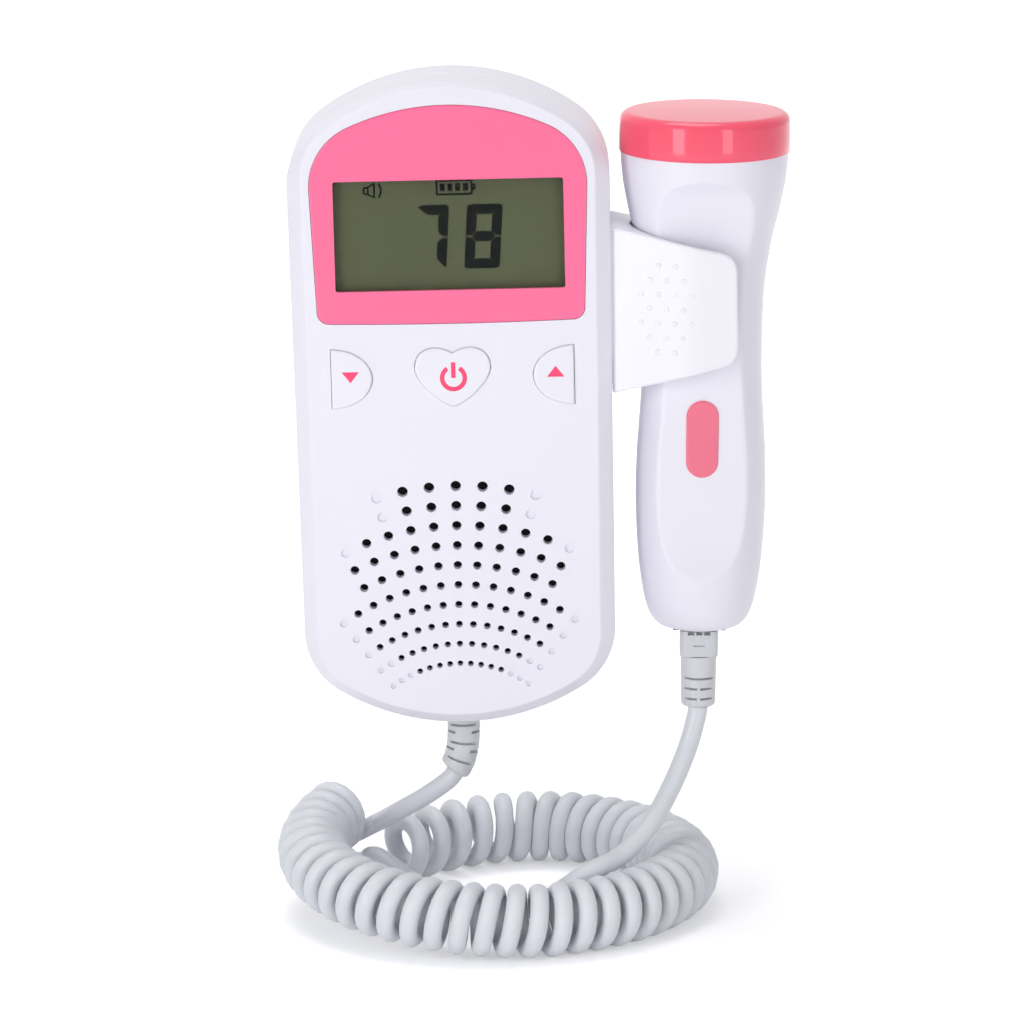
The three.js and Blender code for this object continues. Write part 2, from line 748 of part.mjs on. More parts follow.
// Rear shell: walls, screw bosses, and the battery bay with the ledge its door slides on
const rear_cavity = toSolid(loft([
  evenRing(parting - overrun, case_wall),
  evenRing(-rear_rounding, case_wall),
  evenRing(-rear_wall, case_wall + rear_rounding * (1 - bevel_middle_share)),
]));
const rear_bosses = screw_places.map(([, x, z]) =>
  rod(boss_radius, parting + half(parting_gap), -half(rear_wall), place(x, 0, z)));
const counterbores = screw_places.map(([, x, z]) =>
  rod(screw_head_radius + fit, -counterbore_depth, overrun, place(x, 0, z)));
const rear_bores = screw_places.map(([, x, z]) =>
  rod(screw_hole_radius, parting - overrun, 0, place(x, 0, z), small_sides));
const contact_depth = contact_thickness + fit;
const cell_x = cell_radius + half(cell_gap);
const bay_half_width = cell_x + cell_radius + cell_play;
const bay_depth = door_thickness + 2 * (cell_radius + cell_play);
const bay_length = cell_length + cell_nub_length + spring_length + 2 * contact_depth + 3 * fit;
const bay_bottom = case_foot + bay_above_foot;
const bay_top = bay_bottom + bay_length;
const door_half_width = bay_half_width + door_lap;
const door_top = bay_top + door_lap;
const tongue_half_width = door_half_width + door_tongue;
const below_case = case_foot - overrun;
// the tongues run up from the case's foot at the door's edge, so they leave it together
const door_edge_foot = case_foot + bottom_arch_radius
  - Math.sqrt(bottom_arch_radius ** 2 - door_half_width ** 2);
const tongue_top = door_edge_foot + door_tongue_length;
const bay_walls = block([-bay_half_width - bay_wall, bay_half_width + bay_wall],
  [-bay_depth - bay_wall, -half(rear_wall)], [bay_bottom - bay_wall, bay_top + bay_wall]);
const bay_ledge = block([-tongue_half_width - door_lip, tongue_half_width + door_lip],
  [-2 * rear_wall, -half(rear_wall)], [bay_bottom - bay_wall, door_top + door_lip]);
const bay_room = block([-bay_half_width, bay_half_width], [-bay_depth, overrun],
  [bay_bottom, bay_top]);
const door_seat = -door_thickness - fit;
const tongue_front = -door_thickness;
const tongue_back = tongue_front + door_tongue_thickness;
const door_recess = joined([
  block([-door_half_width - slide_fit, door_half_width + slide_fit], [door_seat, overrun],
    [below_case, door_top + slide_fit]),
  block([-tongue_half_width - slide_fit, tongue_half_width + slide_fit],
    [door_seat, tongue_back + slide_fit], [below_case, tongue_top + slide_fit]),
]);
const rear_shell = without(
  joined([without(rear_body, [rear_cavity]), ...rear_bosses, bay_walls, bay_ledge]),
  [...counterbores, ...rear_bores, door_recess, bay_room, boot_hole]);

// Battery door: a slice of the rear face with a tongue along each side and finger grooves
const door_grips = Array.from({ length: door_grip_count }, (_, i) => {
  const z = door_top - door_lip - door_grip_pitch * (i + 1);
  return block([-half(door_grip_width), half(door_grip_width)], [-door_grip_depth, overrun],
    [z - half(door_grip_height), z + half(door_grip_height)]);
});
const battery_door = without(
  rear_body.intersect(joined([
    block([-door_half_width, door_half_width], [tongue_front, overrun], [below_case, door_top]),
    block([-tongue_half_width, tongue_half_width], [tongue_front, tongue_back],
      [below_case, tongue_top]),
  ])), door_grips);

// Cells, contact plates and springs: the spring fills what the cell leaves of the bay
const cell_y = -half(bay_depth + door_thickness);
const battery_cell = turned([
  [cell_radius, 0], [cell_radius, cell_length],
  [cell_nub_radius, cell_length], [cell_nub_radius, cell_length + cell_nub_length],
], round_sides, uprightAt(0, 0));
function contactPlate(width) {
  return block([-half(width), half(width)], [-half(contact_width), half(contact_width)],
    [0, contact_thickness]);
}
const spring_count = spring_turns * spring_steps;
const spring_points = Array.from({ length: spring_count + 1 }, (_, i) => {
  const share = i / spring_count;
  const turn = full_turn * spring_turns * share;
  const r = spring_radius + (spring_tip_radius - spring_radius) * share;
  const rise = half(spring_wire) + (spring_length - spring_wire) * share;
  return new THREE.Vector3(r * Math.cos(turn), r * Math.sin(turn), rise);
});
const battery_spring = toSolid(loft(ringsAlong(spring_points,
  spring_points.map(() => half(spring_wire)), spring_sides)));
const spring_foot = bay_bottom + contact_depth + fit;
const cell_foot = spring_foot + spring_length + fit;

// Case screw: pan head with a cross slot
const screw_seat = -counterbore_depth + fit;
const slot_floor = screw_seat + screw_head_height - screw_slot_depth;
const case_screw = without(turned([
  [screw_shank_radius, screw_seat - screw_length], [screw_shank_radius, screw_seat],
  [screw_head_radius, screw_seat], [screw_head_radius, screw_seat + half(screw_head_height)],
  [half(screw_head_radius), screw_seat + screw_head_height],
], round_sides), [
  block([-half(screw_slot_length), half(screw_slot_length)], [slot_floor, 0],
    [-half(screw_slot_width), half(screw_slot_width)]),
  block([-half(screw_slot_width), half(screw_slot_width)], [slot_floor, 0],
    [-half(screw_slot_length), half(screw_slot_length)]),
]);

// Boot where the cord leaves the unit: a collar inside the case, then slots along its bend
const boot_exit = case_foot - parting_gap;
const boot_collar_top = case_foot + case_wall + fit + unit_boot_collar_thickness;
const slot_cuts = {
  facing: (cos, sin) => Math.abs(sin) > slot_reach_share,
  sideways: (cos) => Math.abs(cos) > slot_reach_share,
  bridged: (cos, sin) => Math.abs(sin) > slot_reach_share && Math.abs(cos) > 1 / boot_sides,
};
function bootRings(form, above, origin) {
  const reach_share = half(form.slot_height) / form.length;
  const wall_share = slot_wall_share * form.slot_height / form.length;
  const slots = form.slot_shares.flatMap(([share, cut]) => [
    { share: share - reach_share - wall_share, depth: 0, cut },
    { share: share - reach_share, depth: form.slot_depth, cut },
    { share: share + reach_share, depth: form.slot_depth, cut },
    { share: share + reach_share + wall_share, depth: 0, cut },
  ]);
  const end = Array.from({ length: rounding_steps + 1 }, (_, i) => {
    const turn = half(half_turn) * i / rounding_steps;
    return {
      share: 1 - form.rounding * (1 - Math.sin(turn)) / form.length,
      drawn_in: form.rounding * (1 - Math.cos(turn)), depth: 0, cut: 'facing',
    };
  });
  const point = origin.clone();
  let before = 0;
  const below = [{ share: 0, depth: 0, cut: 'facing' }, ...slots, ...end].map((station) => {
    const length = form.length * (station.share - before);
    const turn = radians(form.bend) * ((station.share + before) / 2) ** boot_bend_power;
    point.x -= length * Math.sin(turn);
    point.z -= length * Math.cos(turn);
    before = station.share;
    const taper = (form.lower_radius - form.upper_radius) * station.share;
    return {
      ...station, centre: point.clone(),
      radius: form.upper_radius + taper - (station.drawn_in ?? 0),
      turn: radians(form.bend) * station.share ** boot_bend_power,
    };
  });
  const top = above.map(([z, radius]) => ({
    centre: new THREE.Vector3(origin.x, origin.y, z), radius, turn: 0, depth: 0, cut: 'facing',
  }));
  const rings = [...top, ...below].map(({ centre, radius, turn, depth, cut }) => Array.from(
    { length: boot_sides }, (_, k) => {
      const cos = Math.cos(full_turn * k / boot_sides);
      const sin = Math.sin(full_turn * k / boot_sides);
      const size = radius - (slot_cuts[cut](cos, sin) ? depth : 0);
      return new THREE.Vector3(centre.x + size * cos * Math.cos(turn), centre.y + size * sin,
        centre.z - size * cos * Math.sin(turn));
    }));
  const last_turn = radians(form.bend);
  const outlet = new THREE.Vector3(-Math.sin(last_turn), 0, -Math.cos(last_turn));
  return { rings, outlet, end: point };
}
const unit_boot_shape = bootRings(unit_boot_form, [
  [boot_collar_top, unit_boot_collar_radius],
  [boot_collar_top - unit_boot_collar_thickness, unit_boot_collar_radius],
  [boot_collar_top - unit_boot_collar_thickness, boot_neck_radius],
  [boot_exit, boot_neck_radius],
], new THREE.Vector3(0, -probe_depth, boot_exit));
const unit_boot = toSolid(loft(unit_boot_shape.rings));

// Probe, in its own frame: its axis is z, its thumb flat faces -y
const probe_place = place(probe_offset, -probe_depth, 0).multiply(
  new THREE.Matrix4().makeRotationY(radians(probe_lean)));
const probe_upright = uprightAt(0, 0);
const handle_height = probe_seam_height - probe_foot_height;
const atHandle = ([radius_share, height_share]) =>
  [radius_share * probe_seam_radius, probe_foot_height + height_share * handle_height];
const handle_profile = handle_profile_shares.map(atHandle);
const handle_top = probe_seam_height - fit;
const cap_radius = probe_seam_radius + cap_step;
const spigot_radius = cap_radius - cap_wall - fit;
const backing_radius = spigot_radius - spigot_wall - fit;
const element_radius = backing_radius - element_inset;
const cap_top = probe_seam_height + cap_height;
handle_profile[handle_profile.length - 1][1] = handle_top;
const element_top = cap_top - cap_wall - cap_crown - fit;
const element_bottom = element_top - element_thickness;
const backing_top = element_bottom - fit;
const backing_bottom = backing_top - backing_length;
const flat_points = thumb_flat_shares.map(atHandle);
const flat_reach = 2 * probe_seam_radius;
const toThumbSide = new THREE.Matrix4().makeBasis(new THREE.Vector3(0, -1, 0),
  new THREE.Vector3(0, 0, 1), new THREE.Vector3(-1, 0, 0));
const thumbCut = (inward) => column([
  ...flat_points.map(([distance, height]) => new THREE.Vector2(distance, height)),
  new THREE.Vector2(flat_reach, flat_points[flat_points.length - 1][1]),
  new THREE.Vector2(flat_reach, flat_points[0][1]),
].reverse(), -flat_reach, flat_reach, place(0, inward, 0).multiply(toThumbSide));
const flat_distance = Math.min(...flat_points.map(([distance]) => distance));
function pill(width, height, z) {
  const radius = half(width);
  const reach = half(height) - radius;
  return [
    ...arc(0, z + reach, radius, 0, half_turn, round_sides / 2),
    ...arc(0, z - reach, radius, half_turn, full_turn, round_sides / 2),
  ];
}
const badge_floor = -flat_distance + badge_recess;
const badge_back = badge_floor - fit;
const probe_badge = prism(pill(badge_width, badge_height, badge_centre_height),
  badge_back - badge_thickness, badge_back);
const socket_top = probe_foot_height + socket_height;
const probe_board_bottom = socket_top + probe_board_above_socket;
const probe_board_top = probe_board_bottom + probe_board_length;
const probe_space = [-flat_reach, flat_reach];
const probe_heights = [probe_foot_height - flat_reach, cap_top + flat_reach];
// the handle is hollow between its socket and its element, but for a rail at each board edge
const rail_reach = half(probe_board_thickness) + fit + board_rail_wall;
const boardRail = (side) => block(
  [side * (half(probe_board_width) - board_rail_bite), side * flat_reach].sort((a, b) => a - b),
  [-rail_reach, rail_reach],
  [probe_board_bottom - board_rail_wall, probe_board_top + board_rail_wall]);
const hollow_profile = handle_profile.filter((_, i) => i % 2 === 0)
  .map(([radius, height]) => [radius - handle_wall, height]);
const handle_hollow = without(
  turned(hollow_profile, fine_sides, probe_upright).intersect(block(probe_space, probe_space,
    [socket_top + fit + handle_wall, backing_bottom - fit - handle_wall])),
  [thumbCut(handle_wall), boardRail(-1), boardRail(1)]);
const handle = without(
  joined([
    turned(handle_profile, fine_sides, probe_upright),
    rod(spigot_radius, handle_top - overrun, handle_top + spigot_rise, probe_upright, fine_sides),
  ]), [
    thumbCut(0),
    handle_hollow,
    rod(backing_radius + fit, backing_bottom - fit, cap_top, probe_upright, fine_sides),
    block([-half(probe_board_width) - fit, half(probe_board_width) + fit],
      [-half(probe_board_thickness) - fit, half(probe_board_thickness) + fit],
      [probe_board_bottom - fit, probe_board_top + fit]),
    block([-half(socket_width) - fit, half(socket_width) + fit],
      [-half(socket_depth) - fit, half(socket_depth) + fit],
      [probe_foot_height - overrun, socket_top + fit]),
    prism(pill(badge_width + 2 * slide_fit, badge_height + 2 * slide_fit, badge_centre_height),
      -flat_reach, badge_floor),
  ]);
const probe_front_shell = handle.intersect(
  block(probe_space, [-flat_reach, -half(parting_gap)], probe_heights));
const probe_rear_shell = handle.intersect(
  block(probe_space, [half(parting_gap), flat_reach], probe_heights));

// Cap over the sounding end
const cap_shoulder = cap_top - cap_crown - cap_rounding;
const cap_corner = arc(cap_radius - cap_rounding, cap_shoulder, cap_rounding, 0,
  half(half_turn), rounding_steps).map((point) => [point.x, point.y]);
const probe_cap = without(
  turned([[cap_radius, probe_seam_height], ...cap_corner, [half(cap_radius), cap_top]],
    fine_sides, probe_upright),
  [rod(cap_radius - cap_wall, probe_seam_height - overrun, element_top + fit, probe_upright,
    fine_sides)]);
const sounding_element = rod(element_radius, element_bottom, element_top, probe_upright,
  fine_sides);
const element_backing = rod(backing_radius, backing_bottom, backing_top, probe_upright,
  fine_sides);
const probe_board = block([-half(probe_board_width), half(probe_board_width)],
  [-half(probe_board_thickness), half(probe_board_thickness)],
  [probe_board_bottom, probe_board_top]);

// Socket in the handle's foot and the plug in it
const well_top = probe_foot_height + tongue_length;
const probe_socket = without(
  block([-half(socket_width), half(socket_width)], [-half(socket_depth), half(socket_depth)],
    [probe_foot_height, socket_top]),
  [block([-half(tongue_width) - fit, half(tongue_width) + fit],
    [-half(tongue_depth) - fit, half(tongue_depth) + fit],
    [probe_foot_height - overrun, well_top + fit])]);
function roundedRectangle(width, depth, corner) {
  const x = half(width) - corner;
  const y = half(depth) - corner;
  return [[x, y, 0], [-x, y, 1], [-x, -y, 2], [x, -y, 3]].flatMap(([cx, cy, quarter]) =>
    arc(cx, cy, corner, quarter * half(half_turn), (quarter + 1) * half(half_turn),
      rounding_steps));
}
const plug_top = probe_foot_height - fit;
const plug_bottom = plug_top - plug_height;
const notch_width = plug_width / (2 * plug_notch_count);
const plug_notches = Array.from({ length: plug_notch_count }, (_, i) => {
  const x = (i - half(plug_notch_count - 1)) * (notch_width + plug_notch_land);
  return block([x - half(notch_width), x + half(notch_width)],
    [-half(plug_depth) - overrun, -half(plug_depth) + plug_notch_depth],
    [plug_top - plug_notch_height, plug_top + overrun]);
});
const slit_middle = plug_top - plug_slit_drop;
const plug_slit = block([-half(plug_slit_width), half(plug_slit_width)],
  [-half(plug_depth) - overrun, -half(plug_depth) + plug_slit_depth],
  [slit_middle - half(plug_slit_height), slit_middle + half(plug_slit_height)]);
const plug_housing = joined([
  without(column(roundedRectangle(plug_width, plug_depth, plug_corner), plug_bottom, plug_top),
    [...plug_notches, plug_slit]),
  block([-half(tongue_width), half(tongue_width)], [-half(tongue_depth), half(tongue_depth)],
    [plug_bottom, well_top - fit]),
]);
const plug_boot_top = plug_bottom - parting_gap;
const plug_boot_shape = bootRings(plug_boot_form, [], new THREE.Vector3(0, 0, plug_boot_top));
const plug_boot = toSolid(loft(plug_boot_shape.rings));

// Clip on the unit's side: a wall round the probe, open away from the unit, and its root
const bore_profile = handle_profile.map(([radius, height]) => [radius + clip_clearance, height]);
const clip_outer_radius = Math.max(...bore_profile
  .filter(([, height]) => height < half(clip_upper_root_height)).map(([radius]) => radius))
  + clip_wall;
const clip_root = upper_half_width + fit;
const clip_stem = probe_offset - clip_root;
const clip_plan = joined([
  rod(clip_outer_radius, clip_lower_root_height - overrun, clip_upper_root_height + overrun,
    probe_place.clone().multiply(probe_upright), 2 * fine_sides),
  block([0, clip_reach_front], [-clip_outer_radius, 0],
    [clip_lower_root_height - overrun, clip_upper_root_height + overrun], probe_place),
  block([0, clip_reach_back], [0, clip_outer_radius],
    [clip_lower_root_height - overrun, clip_upper_root_height + overrun], probe_place),
  block([-clip_stem - 2 * overrun, -half(clip_stem)],
    [-half(clip_root_depth), half(clip_root_depth)],
    [clip_lower_root_height - overrun, clip_upper_root_height + overrun], probe_place),
]);
// seen from the front the clip narrows from its root to its rounded tip
function clipElevation() {
  const root = clip_root;
  const tip = probe_offset + clip_reach_front;
  const shape = new THREE.Shape();
  shape.moveTo(root, clip_lower_root_height);
  shape.lineTo(tip - clip_tip_rounding, clip_lower_tip_height);
  shape.quadraticCurveTo(tip, clip_lower_tip_height, tip, clip_lower_tip_height
    + clip_tip_rounding);
  shape.lineTo(tip, clip_upper_tip_height - clip_tip_rounding);
  shape.quadraticCurveTo(tip, clip_upper_tip_height, tip - clip_tip_rounding,
    clip_upper_tip_height);
  shape.lineTo(root, clip_upper_root_height);
  return shape.getPoints(rounding_steps);
}
const bore_outline = [
  ...bore_profile.map(([radius, height]) => new THREE.Vector2(radius, height)),
  ...bore_profile.map(([radius, height]) => new THREE.Vector2(-radius, height)).reverse(),
];
const clip_bore = joined([
  turned(bore_profile, fine_sides, probe_place.clone().multiply(probe_upright)),
  column(bore_outline, -flat_reach, 0, probe_place.clone().multiply(toThumbSide)),
]);
const clip_dots = clip_dot_rows.flatMap((count, row) => Array.from({ length: count }, (_, i) => {
  const x = clip_dot_offset + (i - half(count - 1)) * clip_dot_column_pitch;
  const z = clip_dot_height + (half(clip_dot_rows.length - 1) - row) * clip_dot_row_pitch;
  const y = -Math.sqrt(clip_outer_radius ** 2 - x ** 2);
  return rod(clip_dot_radius, y - clip_dot_relief, y + clip_dot_radius,
    probe_place.clone().multiply(place(x, 0, z)), clip_dot_sides);
}));
const clip_depth = 2 * clip_outer_radius + 2 * probe_depth;
const probe_clip = joined([
  without(clip_plan.intersect(prism(clipElevation(), -clip_depth, clip_depth)), [clip_bore]),
  ...clip_dots,
]);

// Curly stretch of the cord: a helix round an elliptical ring, with a straight run at each end
const pulledShare = (share) => Math.max(0, (share - ring_pull_share) / (1 - ring_pull_share));
function ringCentre(share) {
  const even_angle = radians(ring_start_angle + ring_sweep_angle * share);
  const angle = even_angle + ring_evening * Math.sin(2 * even_angle);
  const lift = ring_lift * Math.max(0, 1 - share / ring_lift_share) ** ring_lift_power;
  const pull = ring_pull * pulledShare(share) ** ring_pull_power;
  return new THREE.Vector3(ring_centre_x + ring_half_width * Math.cos(angle),
    ring_centre_y + ring_half_depth * Math.sin(angle) - pull, ring_height + lift);
}
const curl_radius = half(curl_diameter - curl_wire_diameter);
function curlPoint(share) {
  const along = ringCentre(share + ring_step_share).sub(ringCentre(share - ring_step_share))
    .normalize();
  const outward = along.clone().cross(upward).normalize();
  const raised = outward.clone().cross(along);
  const from = radians(curl_start_phase);
  const to = radians(curl_end_phase) + full_turn * (curl_count + curl_slack);
  const loosened = full_turn * curl_slack * pulledShare(share) ** ring_pull_power;
  const phase = from + (to - from) * share - loosened;
  return ringCentre(share).addScaledVector(outward, curl_radius * Math.cos(phase))
    .addScaledVector(raised, curl_radius * Math.sin(phase));
}
const curl_point_count = curl_count * curl_steps;
const curl_line = Array.from({ length: curl_point_count + 1 }, (_, i) =>
  curlPoint(i / curl_point_count));
function beyond(end, next) {
  const out = end.clone().sub(next).normalize();
  return end.clone().addScaledVector(out, curl_wire_diameter);
}
const curly_line = [
  beyond(curl_line[0], curl_line[1]), ...curl_line,
  beyond(curl_line[curl_point_count], curl_line[curl_point_count - 1]),
];
const cord_coil = toSolid(loft(ringsAlong(curly_line,
  curly_line.map(() => half(curl_wire_diameter)), curl_sides)));

// Least gap of the curly stretch to itself, between points of turns that aren't neighbours
const gap_points = curly_line.flatMap((point, i) => (i === 0 ? [point]
  : [point.clone().lerp(curly_line[i - 1], 1 / 2), point]));
let least_gap = Infinity;
gap_points.forEach((point, i) => {
  for (let k = i + curl_steps; k < gap_points.length; k += 1) {
    least_gap = Math.min(least_gap, point.distanceTo(gap_points[k]) - curl_wire_diameter);
  }
});
console.log(`curly cord: least gap to itself ${least_gap.toFixed(2)} mm`);

// Leads: an eight-sided tube along each hand-chosen route, which leaves what it meets straight
const straightRun = (end, out) => [fit, fit + cord_diameter].map((length) =>
  end.clone().addScaledVector(out, length));
function coilRun(end, next) {
  return straightRun(end, end.clone().sub(next).normalize());
}
function lead(from, route, to, steps) {
  const middle = route.map((point) => new THREE.Vector3(...point));
  const curve = new THREE.CatmullRomCurve3([...from, ...middle, ...to.toReversed()]);
  const section = new THREE.Shape(
    arc(0, 0, half(cord_diameter), 0, full_turn, lead_sides).slice(0, -1));
  return toSolid(new THREE.ExtrudeGeometry(section, {
    steps, extrudePath: curve, bevelEnabled: false,
  }));
}
const coil_start_run = coilRun(curly_line[0], curly_line[1]);
const coil_end_run = coilRun(curly_line.at(-1), curly_line.at(-2));
const unit_boot_run = straightRun(unit_boot_shape.end, unit_boot_shape.outlet);
const plug_boot_run = straightRun(plug_boot_shape.end, plug_boot_shape.outlet)
  .map((point) => point.applyMatrix4(probe_place));
const cord_unit_lead = lead(unit_boot_run, unit_lead_route, coil_start_run, unit_lead_steps);
const cord_probe_lead = lead(coil_end_run, probe_lead_route, plug_boot_run, probe_lead_steps);

// Materials
function material(color, roughness, metalness = 0) {
  return new THREE.MeshStandardMaterial({ color, roughness, metalness });
}
const white_shell = material(0xebe9f5, 0.42);
const clip_white = material(0xf3f2f7, 0.4);
const pink_panel = material(0xff78a5, 0.35);
const pink_gloss = material(0xfc5c78, 0.12);
const pink_badge = material(0xf0788f, 0.35);
const clear_pane = material(0xc8cdb4, 0.05);
const display_grey = material(0x6e7355, 0.25);
const board_green = material(0x1e5a37, 0.5);
const dark_plastic = material(0x232326, 0.55);
const cloth_black = material(0x18181a, 0.95);
const cone_black = material(0x28282c, 0.8);
const steel = material(0xb4b7bb, 0.3, 1);
const nickel = material(0xc9c8c2, 0.25, 1);
const cell_wrap = material(0x3c4a5c, 0.35);
const cord_grey = material(0xcdd2da, 0.4);
const boot_grey = material(0xcdced0, 0.5);
const ceramic = material(0xd8d2c4, 0.5);
const rubber_black = material(0x303033, 0.7);

// The object: the main unit with what rides on it, and the probe in its leaning frame
const monitor = new THREE.Group();
const probe = new THREE.Group();
probe.position.set(probe_offset, -probe_depth, 0);
probe.rotation.y = radians(probe_lean);
monitor.add(probe);

function piece(group, name, solid, finish, position = [0, 0, 0]) {
  const mesh = new THREE.Mesh(toGeometry(solid), finish);
  mesh.name = name;
  mesh.position.set(...position);
  group.add(mesh);
  return mesh;
}
piece(monitor, 'front_shell', front_shell, white_shell);
piece(monitor, 'rear_shell', rear_shell, white_shell);
piece(monitor, 'bezel_panel', bezel_panel, pink_panel);
piece(monitor, 'display_window', display_window, clear_pane);
piece(monitor, 'lcd_module', lcd_module, display_grey);
piece(monitor, 'display_frame', display_frame, dark_plastic);
piece(monitor, 'main_board', main_board, board_green);
buttons.forEach((button, i) => {
  const at = [button.x, 0, button_row_height];
  piece(monitor, button.name, button_solids[i], white_shell);
  piece(monitor, `${button.name}_plunger`, switch_plunger, dark_plastic, at);
  piece(monitor, `${button.name}_switch`, switch_body, steel, at);
});
piece(monitor, 'speaker_cloth', speaker_cloth, cloth_black);
piece(monitor, 'speaker_basket', speaker_basket, steel);
piece(monitor, 'speaker_cone', speaker_cone, cone_black);
piece(monitor, 'speaker_magnet', speaker_magnet, steel);
const left_cell = piece(monitor, 'battery_left', battery_cell, cell_wrap,
  [-cell_x, cell_y, cell_foot]);
const right_cell = piece(monitor, 'battery_right', battery_cell, cell_wrap,
  [cell_x, cell_y, bay_top - (cell_foot - bay_bottom)]);
right_cell.rotation.x = half_turn;
piece(monitor, 'battery_spring_left', battery_spring, nickel, [-cell_x, cell_y, spring_foot]);
const right_spring = piece(monitor, 'battery_spring_right', battery_spring, nickel,
  [cell_x, cell_y, bay_top - (spring_foot - bay_bottom)]);
right_spring.rotation.x = half_turn;
const lower_plate_foot = bay_bottom + fit;
piece(monitor, 'contact_plate_left', contactPlate(contact_width), nickel,
  [-cell_x, cell_y, lower_plate_foot]);
piece(monitor, 'contact_plate_right', contactPlate(contact_width), nickel,
  [cell_x, cell_y, lower_plate_foot]);
piece(monitor, 'contact_bridge', contactPlate(contact_bridge_width), nickel,
  [0, cell_y, bay_top - contact_depth]);
piece(monitor, 'battery_door', battery_door, white_shell);
screw_places.forEach(([name, x, z]) => piece(monitor, name, case_screw, steel, [x, 0, z]));
piece(monitor, 'unit_boot', unit_boot, boot_grey);
piece(monitor, 'probe_clip', probe_clip, clip_white);
piece(probe, 'probe_front_shell', probe_front_shell, white_shell);
piece(probe, 'probe_rear_shell', probe_rear_shell, white_shell);
piece(probe, 'probe_cap', probe_cap, pink_gloss);
piece(probe, 'sounding_element', sounding_element, ceramic);
piece(probe, 'element_backing', element_backing, rubber_black);
piece(probe, 'probe_board', probe_board, board_green);
piece(probe, 'probe_badge', probe_badge, pink_badge);
piece(probe, 'probe_socket', probe_socket, dark_plastic);
piece(probe, 'plug_housing', plug_housing, boot_grey);
piece(probe, 'plug_boot', plug_boot, boot_grey);
piece(monitor, 'cord_unit_lead', cord_unit_lead, cord_grey);
piece(monitor, 'cord_coil', cord_coil, cord_grey);
piece(monitor, 'cord_probe_lead', cord_probe_lead, cord_grey);

export default monitor;
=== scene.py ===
# %% [markdown]
# # A fetal doppler monitor, dressed for its portrait
#
# A white moulded case with a pink display panel, three buttons and a loudspeaker grille, a probe
# held in a side clip, and a curly cord laid in a ring. The construction comes in as a fixed frame,
# and this notebook gives it its surfaces.

from math import asin, atan2, cos, pi, radians, sin, sqrt, tan, tau

import bmesh
import bpy
from mathutils import Matrix, Vector, geometry


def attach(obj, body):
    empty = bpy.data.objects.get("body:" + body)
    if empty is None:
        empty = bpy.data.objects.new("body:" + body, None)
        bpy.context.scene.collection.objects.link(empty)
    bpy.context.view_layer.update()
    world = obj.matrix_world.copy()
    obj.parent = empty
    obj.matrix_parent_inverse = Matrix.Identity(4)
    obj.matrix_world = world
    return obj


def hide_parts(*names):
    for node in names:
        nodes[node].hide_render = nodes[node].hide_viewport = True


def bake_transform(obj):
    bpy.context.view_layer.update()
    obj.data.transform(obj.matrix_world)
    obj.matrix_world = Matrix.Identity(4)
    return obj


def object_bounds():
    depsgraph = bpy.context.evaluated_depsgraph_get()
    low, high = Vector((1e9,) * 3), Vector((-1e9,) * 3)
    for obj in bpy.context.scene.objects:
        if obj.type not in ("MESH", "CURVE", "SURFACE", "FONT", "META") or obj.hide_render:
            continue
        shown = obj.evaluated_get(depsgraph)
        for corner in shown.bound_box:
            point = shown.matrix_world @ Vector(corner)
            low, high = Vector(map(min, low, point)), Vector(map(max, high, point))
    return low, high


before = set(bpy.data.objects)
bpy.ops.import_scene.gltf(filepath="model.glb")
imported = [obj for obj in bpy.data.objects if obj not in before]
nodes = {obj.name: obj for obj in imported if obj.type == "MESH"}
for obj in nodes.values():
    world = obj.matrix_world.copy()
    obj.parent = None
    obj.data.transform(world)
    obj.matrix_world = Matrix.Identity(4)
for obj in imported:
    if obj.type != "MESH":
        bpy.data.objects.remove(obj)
cad_bounds = [list(corner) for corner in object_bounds()]
scene = bpy.context.scene
MM = 0.001

# %% [markdown]
# ## Camera
# The portrait was taken with a long lens from a little above, so the case's top edge shows as a
# narrow band. A small roll follows the lean of the case in the picture.

# %% The camera
camera_place = Vector((28.06, -1150, 234)) * MM
camera_aim = Vector((12, -15, -25)) * MM
camera_lens = 195.17
camera_roll = radians(-1.4)
camera_shift = (-0.00324, -0.00342)

camera = bpy.data.objects.new("camera", bpy.data.cameras.new("camera"))
scene.collection.objects.link(camera)
facing = (camera_aim - camera_place).to_track_quat("-Z", "Y").to_matrix().to_4x4()
camera.matrix_world = (Matrix.Translation(camera_place) @ facing
                       @ Matrix.Rotation(camera_roll, 4, "Z"))
camera.data.lens = camera_lens
camera.data.sensor_width = 36
camera.data.clip_end = 20
camera.data.shift_x, camera.data.shift_y = camera_shift
scene.camera = camera
print("camera: lens", camera_lens, "mm, distance", round((camera_aim - camera_place).length, 3))

# %% [markdown]
# ## Meshes from rings
# Almost every piece is a skin over rings of points: a tube, a turned cap or a case. Edges kept
# sharp by angle give mouldings their crisp rims.


# %% Helpers for meshes
def new_piece(name, shape, sharp=40):
    """A bmesh or mesh as an object, smooth but for edges above an angle in degrees."""
    mesh = to_mesh(name, shape) if isinstance(shape, bmesh.types.BMesh) else shape
    mesh.name = name
    mesh.validate()
    for face in mesh.polygons:
        face.use_smooth = True
    mesh.set_sharp_from_angle(angle=radians(sharp))
    piece = bpy.data.objects.new(name, mesh)
    scene.collection.objects.link(piece)
    return piece


def paint(piece, material):
    """Give a piece or a node one material."""
    piece.data.materials.clear()
    piece.data.materials.append(material)


def face_outwards(shape):
    """Turn the faces of a closed shape outwards."""
    bmesh.ops.recalc_face_normals(shape, faces=shape.faces)
    if shape.calc_volume(signed=True) < 0:
        bmesh.ops.reverse_faces(shape, faces=shape.faces)


